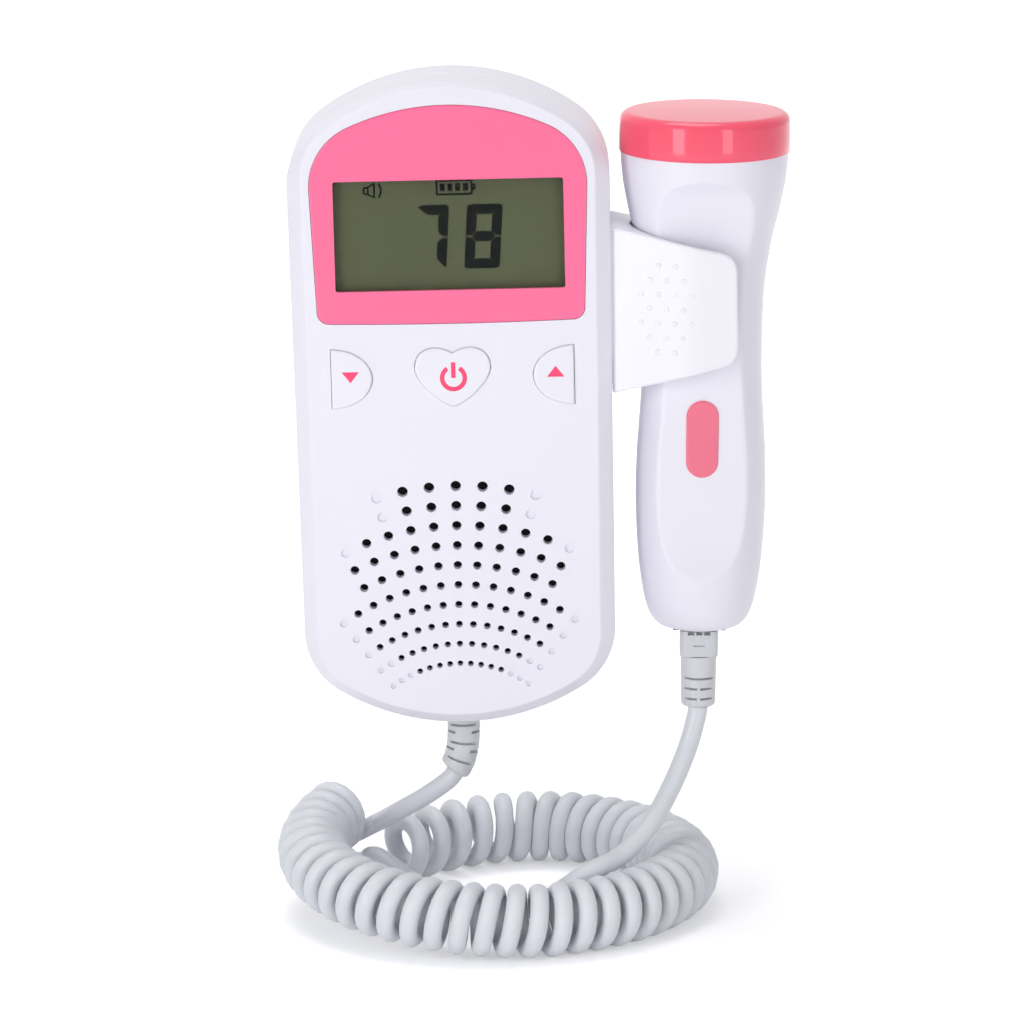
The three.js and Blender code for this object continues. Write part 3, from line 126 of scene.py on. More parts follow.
def skin(rings):
    """A closed bmesh over rings of points that all have the same count."""
    shape = bmesh.new()
    rows = [[shape.verts.new(point) for point in ring] for ring in rings]
    count = len(rows[0])
    for here, there in zip(rows, rows[1:]):
        for i in range(count):
            j = (i + 1) % count
            shape.faces.new((here[i], here[j], there[j], there[i]))
    shape.faces.new(list(reversed(rows[0])))
    shape.faces.new(rows[-1])
    face_outwards(shape)
    return shape


def to_mesh(name, shape):
    """A bmesh as mesh data; the bmesh is freed."""
    mesh = bpy.data.meshes.new(name)
    shape.to_mesh(mesh)
    shape.free()
    return mesh


def rings_along(points, radii, sides):
    """Circles round a line of points, carried along it without twist."""
    turns = [tau * k / sides for k in range(sides)]
    across = Vector((0, 1, 0))
    rings = []
    for i, point in enumerate(points):
        ahead = points[min(i + 1, len(points) - 1)]
        behind = points[max(i - 1, 0)]
        along = (ahead - behind).normalized()
        across = (across - along * across.dot(along)).normalized()
        other = along.cross(across)
        rings.append([point + (across * cos(turn) + other * sin(turn)) * radii[i]
                      for turn in turns])
    return rings


def smooth_line(points, steps):
    """More points on the smooth line through the given ones."""
    ends = [points[0] * 2 - points[1], *points, points[-1] * 2 - points[-2]]
    line = [points[0]]
    for before, here, there, after in zip(ends, ends[1:], ends[2:], ends[3:]):
        stretch = geometry.interpolate_bezier(
            here, here + (there - before) / 6, there - (after - here) / 6, there, steps + 1
        )
        line.extend(stretch[1:])
    return line


def line_length(line):
    """The length along a line of points."""
    return sum((b - a).length for a, b in zip(line, line[1:]))


# %% [markdown]
# ## The cord
# One cord leaves the case, winds into a springy coil laid round in a ring, and comes back up to
# the probe's plug. The helix is a small circle carried round an oval whose start is lifted off the
# floor and whose end is pulled forwards and loosened. The leads run through listed points;
# those under the case lie a little beside the construction's, because the boot there is slimmer.
# The last lead is its own mesh, from the coil's end up to the probe.

# %% The cord's route
cord_diameter = 4.15 * MM
curl_wire = 3.95 * MM
curl_count = 46
curl_steps = 20
coil_outer_diameter = 15.4 * MM
curl_radius = (coil_outer_diameter - curl_wire) / 2
ring_centre = Vector((6.6, -15, -104.3)) * MM
ring_half_width = 39.2 * MM
ring_half_depth = 36.6 * MM
ring_start, ring_sweep = radians(150), radians(337)
ring_evening = 0.017
lift, lift_share, lift_power = 9 * MM, 0.4, 1.3
pull, pull_share, pull_power = 12.5 * MM, 0.8, 2
curl_slack = 0.9
curl_start, curl_end = radians(232), radians(297)
short_step = 0.0001
lead_steps = 6
run_out_lengths = curl_wire, 1.6 * curl_wire
unit_lead_route = [
    (-1.9, -15, -81.6), (-3.7, -14.9, -83.8), (-8.9, -12.9, -87.9), (-14.2, -8.4, -92),
]
probe_lead_route = [
    (-21.6, 1.9, -106.6), (-21.4, -1.6, -104.2), (-19.3, -5, -103.4), (-15.6, -8.6, -105),
    (-10.6, -12.9, -107.7), (-5, -18, -109.4), (4, -27, -109.6), (14, -34.5, -106.3),
    (25, -38, -98.3), (32.3, -32.8, -96.2), (38.6, -26.8, -91.4), (43.3, -21, -85),
    (47.1, -17, -77.4), (49.15, -15.2, -71), (49.57, -15, -68.6),
]


def in_metres(points):
    """Points in millimetres as vectors in metres."""
    return [Vector(point) * MM for point in points]


def pulled(share):
    """How far a share of the ring lies within the pulled stretch, from 0 to 1."""
    return max(0, (share - pull_share) / (1 - pull_share))


def coil_centre(share):
    """A point of the ring that the curls go round, by its share of the way."""
    even = ring_start + ring_sweep * share
    angle = even + ring_evening * sin(2 * even)
    raised = lift * max(0, 1 - share / lift_share) ** lift_power
    drawn = pull * pulled(share) ** pull_power
    return ring_centre + Vector((ring_half_width * cos(angle),
                                 ring_half_depth * sin(angle) - drawn, raised))


def curl_point(share):
    """A point of the helix, by its share of the way round the ring."""
    along = (coil_centre(share + short_step) - coil_centre(share - short_step)).normalized()
    outward = along.cross(Vector((0, 0, 1))).normalized()
    upwards = outward.cross(along)
    turns = curl_end - curl_start + tau * (curl_count + curl_slack)
    phase = curl_start + turns * share - tau * curl_slack * pulled(share) ** pull_power
    swing = outward * cos(phase) + upwards * sin(phase)
    return coil_centre(share) + swing * curl_radius


def run_out(end, before):
    """Two points that carry a line's end straight on."""
    out = (end - before).normalized()
    return [end + out * length for length in run_out_lengths]


curl_total = curl_count * curl_steps
curl_line = [curl_point(i / curl_total) for i in range(curl_total + 1)]
coil_in = run_out(curl_line[0], curl_line[1])
coil_out = run_out(curl_line[-1], curl_line[-2])
unit_lead = smooth_line(
    [*in_metres(unit_lead_route), coil_in[1], coil_in[0], curl_line[0]], lead_steps)
tail = smooth_line([curl_line[-1], *coil_out, *in_metres(probe_lead_route)], lead_steps)
first_line = unit_lead[:-1] + curl_line + tail[1:lead_steps + 1]
probe_lead = tail[lead_steps:]
print("cord, case to coil's end:", round(line_length(first_line), 3), "m; to the probe:",
      round(line_length(probe_lead), 3), "m")

# %% The cord's two meshes
cord_sides = 14
widening_points = 12
widening = [curl_wire / 2 + (cord_diameter - curl_wire) / 2 * min(1, i / widening_points)
            for i in range(len(probe_lead))]
coil_cord = new_piece("coiled_cord", skin(
    rings_along(first_line, [curl_wire / 2] * len(first_line), cord_sides)))
probe_cord = new_piece("probe_cord", skin(rings_along(probe_lead, widening, cord_sides)))
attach(coil_cord, "unit")
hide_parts("cord_unit_lead", "cord_coil")
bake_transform(probe_cord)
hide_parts("cord_probe_lead")

# %% [markdown]
# ## Shared surface effects
# All finishes share two small effects, each a node group: a drifting tone, so that no surface is
# one flat colour, and a fine mould grain that breaks up reflections.


# %% Node groups
def node_group(name, inputs, outputs):
    """A shader node group with float or colour sockets; its given inputs and its end node."""
    group = bpy.data.node_groups.new(name, "ShaderNodeTree")
    for side, sockets in (("INPUT", inputs), ("OUTPUT", outputs)):
        for label, kind, *value in sockets:
            socket = group.interface.new_socket(
                label, in_out=side, socket_type="NodeSocket" + kind)
            if value:
                socket.default_value = value[0]
    given = group.nodes.new("NodeGroupInput").outputs
    return group, given, group.nodes.new("NodeGroupOutput")


def feed(tree, node, *inputs, **named):
    """Give a node's inputs, by place or by name, a value or a link from a socket."""
    for key, value in [*enumerate(inputs), *named.items()]:
        socket = node.inputs[key.replace("_", " ") if isinstance(key, str) else key]
        if isinstance(value, bpy.types.NodeSocket):
            tree.links.new(value, socket)
        else:
            socket.default_value = value
    return node


def add_node(tree, kind, setting=None, *inputs, **named):
    """A shader node with its inputs; the setting is its operation or its node group."""
    node = tree.nodes.new("ShaderNode" + kind)
    if kind == "Group":
        node.node_tree = setting
    elif setting:
        node.operation = setting
    return feed(tree, node, *inputs, **named)


def surface_point(tree):
    """The place on the surface in the piece's own frame, which moves with it."""
    return add_node(tree, "TexCoord").outputs["Object"]


def tone_drift_group():
    """Colour that drifts a little lighter and darker over the surface."""
    group, given, end = node_group(
        "tone_drift",
        [("Color", "Color", (1, 1, 1, 1)), ("Scale", "Float", 20), ("Amount", "Float", 0.03)],
        [("Color", "Color")])
    cloud = add_node(group, "TexNoise", Vector=surface_point(group), Scale=given["Scale"],
                     Detail=3)
    value = add_node(group, "MapRange", Value=cloud.outputs["Fac"], From_Min=0.3, From_Max=0.7)
    darker = add_node(group, "Math", "SUBTRACT", 1, given["Amount"])
    swing = add_node(group, "Math", "MULTIPLY_ADD", value.outputs["Result"], given["Amount"],
                     darker.outputs["Value"])
    tint = add_node(group, "HueSaturation", Value=swing.outputs["Value"], Color=given["Color"])
    feed(group, end, Color=tint.outputs["Color"])
    return group


def mould_grain_group():
    """A fine grain: a height for a Bump node and a roughness that follows it."""
    group, given, end = node_group(
        "mould_grain",
        [("Scale", "Float", 2500), ("Roughness", "Float", 0.4), ("Spread", "Float", 0.06)],
        [("Height", "Float"), ("Roughness", "Float")])
    where = surface_point(group)
    grain = add_node(group, "TexNoise", Vector=where, Scale=given["Scale"], Detail=2)
    smear = add_node(group, "TexNoise", Vector=where, Scale=60)
    offset = add_node(group, "Math", "SUBTRACT", smear.outputs["Fac"], 0.5)
    rough = add_node(group, "Math", "MULTIPLY_ADD", offset.outputs["Value"], given["Spread"],
                     given["Roughness"])
    feed(group, end, Height=grain.outputs["Fac"], Roughness=rough.outputs["Value"])
    return group


tone_drift = tone_drift_group()
mould_grain = mould_grain_group()
print("node groups:", tone_drift.name, mould_grain.name)

# %% [markdown]
# ## Finishes
# Every finish is a colour with drift and grain, and sets what is its own on the shader: clear coat
# for polished plastic, metalness for steel, transmission for the display's window.


# %% The base recipe
def screen_colour(red, green, blue):
    """Linear light for a colour written as it looks on a screen, 0 to 255."""
    def linear(value):
        share = value / 255
        return share / 12.92 if share <= 0.04045 else ((share + 0.055) / 1.055) ** 2.4
    return (linear(red), linear(green), linear(blue), 1)


def finish(name, colour, roughness, drift=(25, 0.03), grain=(2500, 0.06, 0.00001), **sockets):
    """A material with drifting tone and fine grain; other sockets are set on its shader."""
    material = bpy.data.materials.new(name)
    material.use_nodes = True
    tree = material.node_tree
    shader = tree.nodes["Principled BSDF"]
    tone = add_node(tree, "Group", tone_drift, Color=screen_colour(*colour), Scale=drift[0],
                    Amount=drift[1])
    texture = add_node(tree, "Group", mould_grain, Scale=grain[0], Roughness=roughness,
                       Spread=grain[1])
    bump = add_node(tree, "Bump", Distance=grain[2], Height=texture.outputs["Height"])
    feed(tree, shader, Base_Color=tone.outputs["Color"], Roughness=texture.outputs["Roughness"],
         Normal=bump.outputs["Normal"], **sockets)
    return material


# %% The finishes of this object
case_white = finish("case_white", (238, 237, 246), 0.38, drift=(18, 0.015))
clip_white = finish("clip_white", (242, 241, 247), 0.36, drift=(18, 0.015))
button_white = finish("button_white", (240, 239, 247), 0.36, drift=(30, 0.015))
panel_pink = finish("panel_pink", (255, 106, 154), 0.3, drift=(30, 0.03), Coat_Weight=0.4,
                    Coat_Roughness=0.12)
cap_pink = finish("cap_pink", (255, 86, 114), 0.3, drift=(40, 0.04), grain=(400, 0.05, 0.000002),
                  Coat_Weight=0.65, Coat_Roughness=0.03, Specular_IOR_Level=0.1)
badge_pink = finish("badge_pink", (244, 118, 142), 0.35, drift=(60, 0.05))
symbol_pink = finish("symbol_pink", (252, 70, 120), 0.4, drift=(200, 0.05))
display_olive = finish("display_olive", (86, 89, 70), 0.45, drift=(30, 0.1),
                       Specular_IOR_Level=0.1)
segment_dark = finish("segment_dark", (10, 13, 15), 0.6, drift=(150, 0.1),
                      Specular_IOR_Level=0.1)
cord_grey = finish("cord_grey", (223, 226, 231), 0.36, drift=(60, 0.04),
                   grain=(1800, 0.08, 0.00002))
boot_grey = finish("boot_grey", (213, 215, 218), 0.42, drift=(60, 0.05),
                   grain=(1800, 0.08, 0.00002))
plug_grey = finish("plug_grey", (208, 210, 214), 0.4, drift=(60, 0.04))
inner_black = finish("inner_black", (30, 30, 33), 0.5, drift=(60, 0.15))
cloth_black = finish("cloth_black", (20, 20, 23), 0.9, drift=(500, 0.4),
                     grain=(6000, 0.1, 0.0001))
cone_black = finish("cone_black", (38, 38, 42), 0.75, drift=(120, 0.2))
board_green = finish("board_green", (30, 92, 56), 0.4, drift=(200, 0.15), Coat_Weight=0.5)
spring_steel = finish("spring_steel", (190, 190, 188), 0.3, drift=(90, 0.08), Metallic=1.0)
screw_steel = finish("screw_steel", (172, 175, 180), 0.32, drift=(300, 0.15), Metallic=1.0)
cell_wrap = finish("cell_wrap", (62, 76, 96), 0.3, drift=(40, 0.08), Coat_Weight=0.6)
ceramic_cream = finish("ceramic_cream", (216, 210, 196), 0.5, drift=(100, 0.05))
backing_black = finish("backing_black", (46, 46, 50), 0.7, drift=(100, 0.2))
window_clear = finish("window_clear", (246, 248, 242), 0.004, drift=(20, 0.01),
                      grain=(300, 0.002, 0.0000001), Transmission_Weight=1.0, IOR=1.1)
print("finishes:", len(bpy.data.materials))


# %% Finishes for the construction's own nodes
# the first of these words that a node's name holds decides its finish
word_finishes = {
    "plunger": inner_black, "switch": spring_steel, "spring": spring_steel,
    "contact": spring_steel, "shell": case_white, "door": case_white, "clip": clip_white,
    "button": button_white, "bezel": panel_pink, "window": window_clear, "lcd": display_olive,
    "frame": inner_black, "socket": inner_black, "board": board_green, "cloth": cloth_black,
    "cone": cone_black, "basket": screw_steel, "magnet": screw_steel, "screw": screw_steel,
    "battery": cell_wrap, "boot": boot_grey, "housing": plug_grey, "cap": cap_pink,
    "badge": badge_pink, "sounding": ceramic_cream, "backing": backing_black,
}
for name, node in nodes.items():
    words = [word for word in word_finishes if word in name]
    if words:
        paint(node, word_finishes[words[0]])
for piece in (coil_cord, probe_cord):
    paint(piece, cord_grey)
print("words for finishes:", len(word_finishes))

# %% [markdown]
# ## Outlines and cutting
# The case is drawn by one outline. Holes are cut with exact booleans, so that their rims stay
# crisp on the flat face. From here on, lengths are in millimetres until a ring is put in metres.


# %% Helpers for outlines and cuts
def flat(*spots):
    """Points of a plane outline, from pairs."""
    return [Vector(spot) for spot in spots]


def mirrored(points):
    """The points on the other side of the upright axis, in reverse order."""
    return [Vector((-point.x, point.y)) for point in reversed(points)]


def arc(x, z, radius, start, stop, steps):
    """Points along an arc about a centre, in plane coordinates."""
    turns = [start + (stop - start) * i / steps for i in range(steps + 1)]
    return [Vector((x + radius * cos(turn), z + radius * sin(turn))) for turn in turns]


def disc(x, z, radius, sides=16):
    """Points round a full circle."""
    return arc(x, z, radius, 0, tau, sides)[:-1]


def box_outline(x, z, width, height, corner=0.0):
    """A rectangle about a point, with rounded corners where a corner is given."""
    right, top, quarter = width / 2 - corner, height / 2 - corner, pi / 2
    points = []
    for turn, (x_sense, z_sense) in enumerate(((1, 1), (-1, 1), (-1, -1), (1, -1))):
        spot = x + x_sense * right, z + z_sense * top
        points.extend(arc(*spot, corner, turn * quarter, (turn + 1) * quarter, 8) if corner
                      else flat(spot))
    return points


def grown_box(sizes, grow):
    """A box outline, given by its centre, width, height and corner, grown all round."""
    x, z, width, height, corner = sizes
    return box_outline(x, z, width + 2 * grow, height + 2 * grow, corner + grow)


def arched(top, bottom, upper, lower, top_arch, top_corner, foot_arch, foot_corner):
    """Arched ends, nearly straight sides and a fillet at each corner."""
    steps = 20
    upper_arch, lower_arch = top - top_arch, bottom + foot_arch
    upper_x, lower_x = upper - top_corner, lower - foot_corner
    upper_z = upper_arch + sqrt((top_arch - top_corner) ** 2 - upper_x ** 2)
    lower_z = lower_arch - sqrt((foot_arch - foot_corner) ** 2 - lower_x ** 2)
    upper_turn = atan2(upper_z - upper_arch, upper_x)
    lower_turn = atan2(lower_arch - lower_z, lower_x)
    right = [
        *arc(0, lower_arch, foot_arch, -pi / 2, -lower_turn, steps)[1:],
        *arc(lower_x, lower_z, foot_corner, -lower_turn, 0, steps)[1:],
        *arc(upper_x, upper_z, top_corner, 0, upper_turn, steps),
        *arc(0, upper_arch, top_arch, upper_turn, pi / 2, steps)[1:-1],
    ]
    return [Vector((0, bottom)), *right, Vector((0, top)), *mirrored(right)]


def ring_at(outline, y):
    """An outline in the plane of the face, set at a depth, in metres."""
    return in_metres((x, y, z) for x, z in outline)


def prism(outline, front, back):
    """A straight block on an outline between two depths."""
    return skin([ring_at(outline, front), ring_at(outline, back)])


def together(shapes):
    """One bmesh of several closed shapes that don't touch."""
    whole = bmesh.new()
    for shape in shapes:
        mesh = to_mesh("part", shape)
        whole.from_mesh(mesh)
        bpy.data.meshes.remove(mesh)
    return whole


def carve(body, *tools):
    """The mesh of a body after booleans: closed shapes to cut out, or (operation, shape)."""
    holder = bpy.data.objects.new("body", to_mesh("body", body))
    scene.collection.objects.link(holder)
    helpers = []
    for tool in tools:
        operation, tool = tool if isinstance(tool, tuple) else ("DIFFERENCE", tool)
        helper = bpy.data.objects.new("tool", to_mesh("tool", tool))
        scene.collection.objects.link(helper)
        helpers.append(helper)
        cut = holder.modifiers.new("cut", "BOOLEAN")
        cut.operation = operation
        cut.solver = "EXACT"
        cut.object = helper
    bpy.context.view_layer.update()
    seen = holder.evaluated_get(bpy.context.evaluated_depsgraph_get())
    mesh = bpy.data.meshes.new_from_object(seen)
    for item in (holder, *helpers):
        old = item.data
        bpy.data.objects.remove(item)
        bpy.data.meshes.remove(old)
    return mesh


def add_piece(name, shape, sharp, body, slot, material, *replaced):
    """A painted piece on a body, that may stand for construction nodes; the slot is not used."""
    piece = new_piece(name, shape, sharp)
    paint(piece, material)
    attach(piece, body)
    if replaced:
        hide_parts(*replaced)
    return piece


# %% [markdown]
# ## The case
# Two halves meet in a hairline all round. The front half's edge is a straight bevel, narrow at the
# top; the back half rounds over. The face has the panel's recess, the button holes and a fan of
# speaker holes; the back has the sunk screw holes and the bay behind the battery door.

# %% The case's outline and the speaker's fan
# top and foot, half widths near them, then the radii of the top's arch and corners and the foot's
case_sizes = (67.5, -67.8, 33.2, 32.4, 46, 16, 48, 15)
panel_sizes = (62.95, 17.7, 28.45, 27.5, 50, 13.5, 900, 2.4)
window_sizes = (0, 36.1, 47.2, 22.9, 0.5)
grille_centre = -78.4
first_reach, row_pitch = 24, 4.205
ray_pitch = 5.15
smallest_hole, hole_growth = 0.62, 0.5


def drawn_in(sizes, side, top, foot):
    """An arched outline, drawn in by a length at its sides, top and foot."""
    top_end, foot_end, *across = sizes
    return arched(top_end - top, foot_end + foot, *[size - side for size in across])


def case_ring(y, side, *ends):
    """The case's outline at a depth, drawn in; its ends by lengths of their own if given."""
    return ring_at(drawn_in(case_sizes, side, *(ends or (side, side))), y)


def panel_outline(grow):
    """The display panel's outline, grown."""
    return drawn_in(panel_sizes, -grow, -grow, -grow)


def grille():
    """Through holes and shallow dimples of the speaker's fan, as (x, z, radius)."""
    holes, dimples = [], []
    each_side = [4, 5, 6, 6, 6, 5, 5, 4, 2, 2]
    dimples_beyond = [3, 2, 1, 1, 1, 0, 0, 1, 1, 1]
    for row, (count, beyond) in enumerate(zip(each_side, dimples_beyond)):
        reach = first_reach + row * row_pitch
        radius = smallest_hole + hole_growth * row / (len(each_side) - 1)
        for ray in range(-count - beyond, count + beyond + 1):
            turn = pi / 2 - radians(ray * ray_pitch)
            spot = (reach * cos(turn), grille_centre + reach * sin(turn), radius)
            (dimples if abs(ray) > count else holes).append(spot)
    return holes, dimples


# %% Button outlines
buttons_height = 6.5
arrow_place = 20.8


def curve_points(shares, half_width, half_height):
    """Points along joined cubic curves whose control points are shares of the half sizes."""
    steps = 16
    bends = [Vector((x * half_width, z * half_height, 0)) for x, z in shares]
    points = bends[:1]
    for i in range(0, len(bends) - 1, 3):
        points.extend(geometry.interpolate_bezier(*bends[i:i + 4], steps + 1)[1:])
    return [point.xy for point in points]


def heart_outline(grow):
    """The power button's heart, grown."""
    right = curve_points([(0, -1), (0.28, -0.975), (1.1, -0.1), (1, 0.42), (0.95, 1.02),
                          (0.42, 1.16), (0, 0.813)], 7.75 + grow, 6.15 + grow)
    return [point + Vector((0, buttons_height)) for point in right + mirrored(right[1:-1])]


def arrow_outline(side, grow):
    """The half oval of the down button, side -1, or of the up button, side 1."""
    lower = curve_points([(-1, -1), (0.35, -0.98), (1, -0.45), (1, 0)], 4.2 + grow, 6.2 + grow)
    upper = [Vector((point.x, -point.y)) for point in reversed(lower[:-1])]
    outline = [Vector((-side * point.x, point.y)) for point in lower + upper]
    return [point + Vector((side * arrow_place, buttons_height)) for point in outline]


button_outlines = {
    "power_button": heart_outline,
    "down_button": lambda grow: arrow_outline(-1, grow),
    "up_button": lambda grow: arrow_outline(1, grow),
}

# %% The front half of the case
quarter_turns = [pi / 2 * i / 10 for i in range(11)]
bevel_back, bevel_depth = -27, 3
bevel_side, bevel_foot = 3.1, 2.4
hairline = 0.25
wall = 2.2
in_front, inside = -31, -26
dimple_floor, panel_floor = -29.4, -28.7
button_gap, panel_gap = 0.11, 0.09
cord_depth = -15
boot_hole_radius = 3.35
front_rings = [case_ring(-15.56, hairline), case_ring(-15.85, 0)]
# how far in and how deep each ring of the bevel lies: straight, with a small rounding at its ends
bevel = [(0, -0.14), (0.012, -0.03), (0.05, 0.05), (0.12, 0.13), (0.86, 0.88), (0.93, 0.945),
         (0.975, 0.98), (1.03, 1), (1.15, 1)]
for across, depth in bevel:
    front_rings.append(case_ring(bevel_back - bevel_depth * depth, bevel_side * across, across,
                                 bevel_foot * across))
cavity = skin([case_ring(-14, wall), case_ring(-27.6, 3.5, 2.8, 3.2)])
through, shallow = grille()
holes = [prism(disc(x, z, radius), in_front, bevel_back) for x, z, radius in through]
holes.extend(prism(disc(x, z, radius), in_front, dimple_floor) for x, z, radius in shallow)
for outline in button_outlines.values():
    holes.append(prism(outline(button_gap), in_front, inside))
holes.append(prism(panel_outline(panel_gap), in_front, panel_floor))
window_hole = prism(grown_box(window_sizes, 1.0), in_front, inside)
boot_hole = skin([in_metres((x, cord_depth + y, z) for x, y in disc(0, 0, boot_hole_radius, 32))
                  for z in (-70, -60)])
front_body = carve(skin(front_rings), cavity, together(holes), window_hole, boot_hole.copy())
front_case = add_piece("front_case", front_body, 30, "unit", "white_shell", case_white,
                       "front_shell")
print("front case:", len(front_case.data.polygons), "faces,", len(through), "holes")

# %% The back half of the case
rear_radius = 5
behind = 1
screw_spots = [(-19.5, 54), (19.5, 54), (-25, -38), (25, -38)]
counterbore_radius = counterbore_depth = 2.4
door_side, door_top, door_depth = 17.05, -2.95, 1.9
bay_centre, bay_width, bay_height, bay_wall = -32.6, 30, 55.2, 1.5
rear_rings = [case_ring(-15.44, hairline), case_ring(-15.15, 0)]
for turn in quarter_turns:
    rear_rings.append(case_ring(rear_radius * sin(turn) - rear_radius,
                                rear_radius * (1 - cos(turn))))
rear_rings.append(case_ring(0, 5.4))
counterbores = [prism(disc(x, z, counterbore_radius, 32), -counterbore_depth, behind)
                for x, z in screw_spots]
door_recess = prism(flat((-door_side, -80), (door_side, -80), (door_side, door_top),
                         (-door_side, door_top)), -door_depth, behind)
rear_cavity = skin([case_ring(-17, wall), case_ring(-rear_radius, wall)])
# the bay is open behind the door, so the cells show when the door is slid down
bay_walls = prism(box_outline(0, bay_centre, bay_width + 2 * bay_wall,
                              bay_height + 2 * bay_wall), -18.3, -4)
bay_room = prism(box_outline(0, bay_centre, bay_width, bay_height), -16.8, behind)
rear_body = carve(skin(rear_rings), together(counterbores), door_recess, rear_cavity, boot_hole,
                  ("UNION", bay_walls), bay_room)
rear_case = add_piece("rear_case", rear_body, 30, "unit", "white_shell", case_white,
                      "rear_shell")
print("back case:", len(rear_case.data.polygons), "faces")

# %% The two cells, one each way up
cell_line = [(0.3, 0), (6.7, 0), (7, 0.1), (7.1, 0.4), (7.1, 48.8), (7, 49.1), (6.7, 49.2),
             (2.7, 49.2), (2.7, 50.2), (2.4, 50.5), (0.3, 50.5)]
cell_depth = -9.3
for name, middle, foot, sense in (("left", -7.5, -56.5, 1), ("right", 7.5, -8.7, -1)):
    rings = []
    for radius, height in cell_line:
        circle = disc(middle, cell_depth, radius, 48)
        rings.append(in_metres((x, y, foot + sense * height) for x, y in circle))
    add_piece("cell_" + name, skin(rings), 30, "unit", "cell_wrap", cell_wrap, "battery_" + name)
print("cells:", len(cell_line), "rings each")

# %% [markdown]
# ## The face
# The panel is a thin glossy plate with a softened rim and a cut-out for the window. Each button
# is a cap with a rounded rim in its own hole, with a printed sign.

# %% The display panel
panel_rim = [(0, -29), (0, -29.85), (-0.05, -29.95), (-0.17, -30), (-0.4, -30)]
panel_plate = skin([ring_at(panel_outline(grow), y) for grow, y in panel_rim])
panel_cut = carve(panel_plate, prism(grown_box(window_sizes, 0), in_front, -28))
display_panel = add_piece("display_panel", panel_cut, 30, "unit", "pink_panel", panel_pink,
                          "bezel_panel")
print("panel:", len(display_panel.data.polygons), "faces")

# %% The three buttons
button_foot, button_rim, button_top = -27, -30.2, -30.7
button_radius = 0.5
for name, outline in button_outlines.items():
    rings = [ring_at(outline(0), button_foot), ring_at(outline(0), button_rim)]
    for turn in quarter_turns[2::2]:
        rings.append(ring_at(outline(-button_radius * (1 - cos(turn))),
                             button_rim - button_radius * sin(turn)))
    rings.append(ring_at(outline(-0.8), button_top))
    add_piece(name + "_cap", skin(rings), 30, name, "button_cap", button_white, name)
print("buttons:", len(button_outlines))


# %% The signs on the buttons
def sign(name, rides, outlines, front, thickness, material, slot):
    """A printed sign: flat closed outlines laid on a face."""
    shape = together([prism(outline, front, front + thickness) for outline in outlines])
    add_piece(name, shape, 40, rides, slot, material)


def triangle(x, z, width, height):
    """A triangle about a point that points up, or down with a height below zero."""
    return flat((x - width / 2, z - height / 2), (x + width / 2, z - height / 2),
                (x, z + height / 2))


def band(x, z, radius, stroke, start, stop, steps=40):
    """A stroke along an arc between two angles in degrees."""
    outer = arc(x, z, radius, radians(start), radians(stop), steps)
    inner = arc(x, z, radius - stroke, radians(stop), radians(start), steps)
    return outer + inner


sign_front, sign_depth = -30.73, 0.06
power_middle, power_stroke = 0.16, 0.93
button_signs = {
    "down": [triangle(-21.05, 6.9, 3.6, -2.3)],
    "up": [triangle(21.2, 7.36, 3.6, 2.3)],
    "power": [band(power_middle, 6.4, 2.8, power_stroke, 122, 418),
              box_outline(power_middle, 8.05, power_stroke, 3.3, 0.2)],
}
for name, outlines in button_signs.items():
    sign(name + "_sign", name + "_button", outlines, sign_front, sign_depth, symbol_pink,
         "pink_panel")
print("button signs:", len(button_signs))

# %% The display's signs
digit_foot, digit_top = 28.6, 42
digit_slope = 0.07
stroke, segment_gap, chamfer = 2.1, 0.16, 0.5


def digit(left, right, lit):
    """A slanted seven-segment digit: mitred bars with narrow gaps, for the lit letters."""
    x_middle, z_middle = (left + right) / 2, (digit_foot + digit_top) / 2
    side, top = (right - left) / 2, (digit_top - digit_foot) / 2
    end, half = side - segment_gap, stroke / 2
    upper = [(end, top - chamfer), (end - chamfer, top), (chamfer - end, top),
             (-end, top - chamfer), (stroke - end, top - stroke), (end - stroke, top - stroke)]
    right_hand = [(side, top - segment_gap), (side, segment_gap), (side - half, segment_gap),
                  (side - stroke, half + segment_gap),
                  (side - stroke, top - stroke - segment_gap)]
    bar = [(end - half, 0), (side - stroke, half), (stroke - side, half),
           (half - end, 0), (stroke - side, -half), (side - stroke, -half)]
    shapes = {"a": (upper, 1, 1), "b": (right_hand, 1, 1), "c": (right_hand, 1, -1),
              "d": (upper, 1, -1), "e": (right_hand, -1, -1), "f": (right_hand, -1, 1),
              "g": (bar, 1, 1)}
    outlines = []
    for shape, x_sense, z_sense in [shapes[letter] for letter in lit]:
        spots = [(x_middle + x_sense * x, z_middle + z_sense * z) for x, z in shape]
        outlines.append(flat(*[(x + (z - digit_foot) * digit_slope, z) for x, z in spots]))
    return outlines


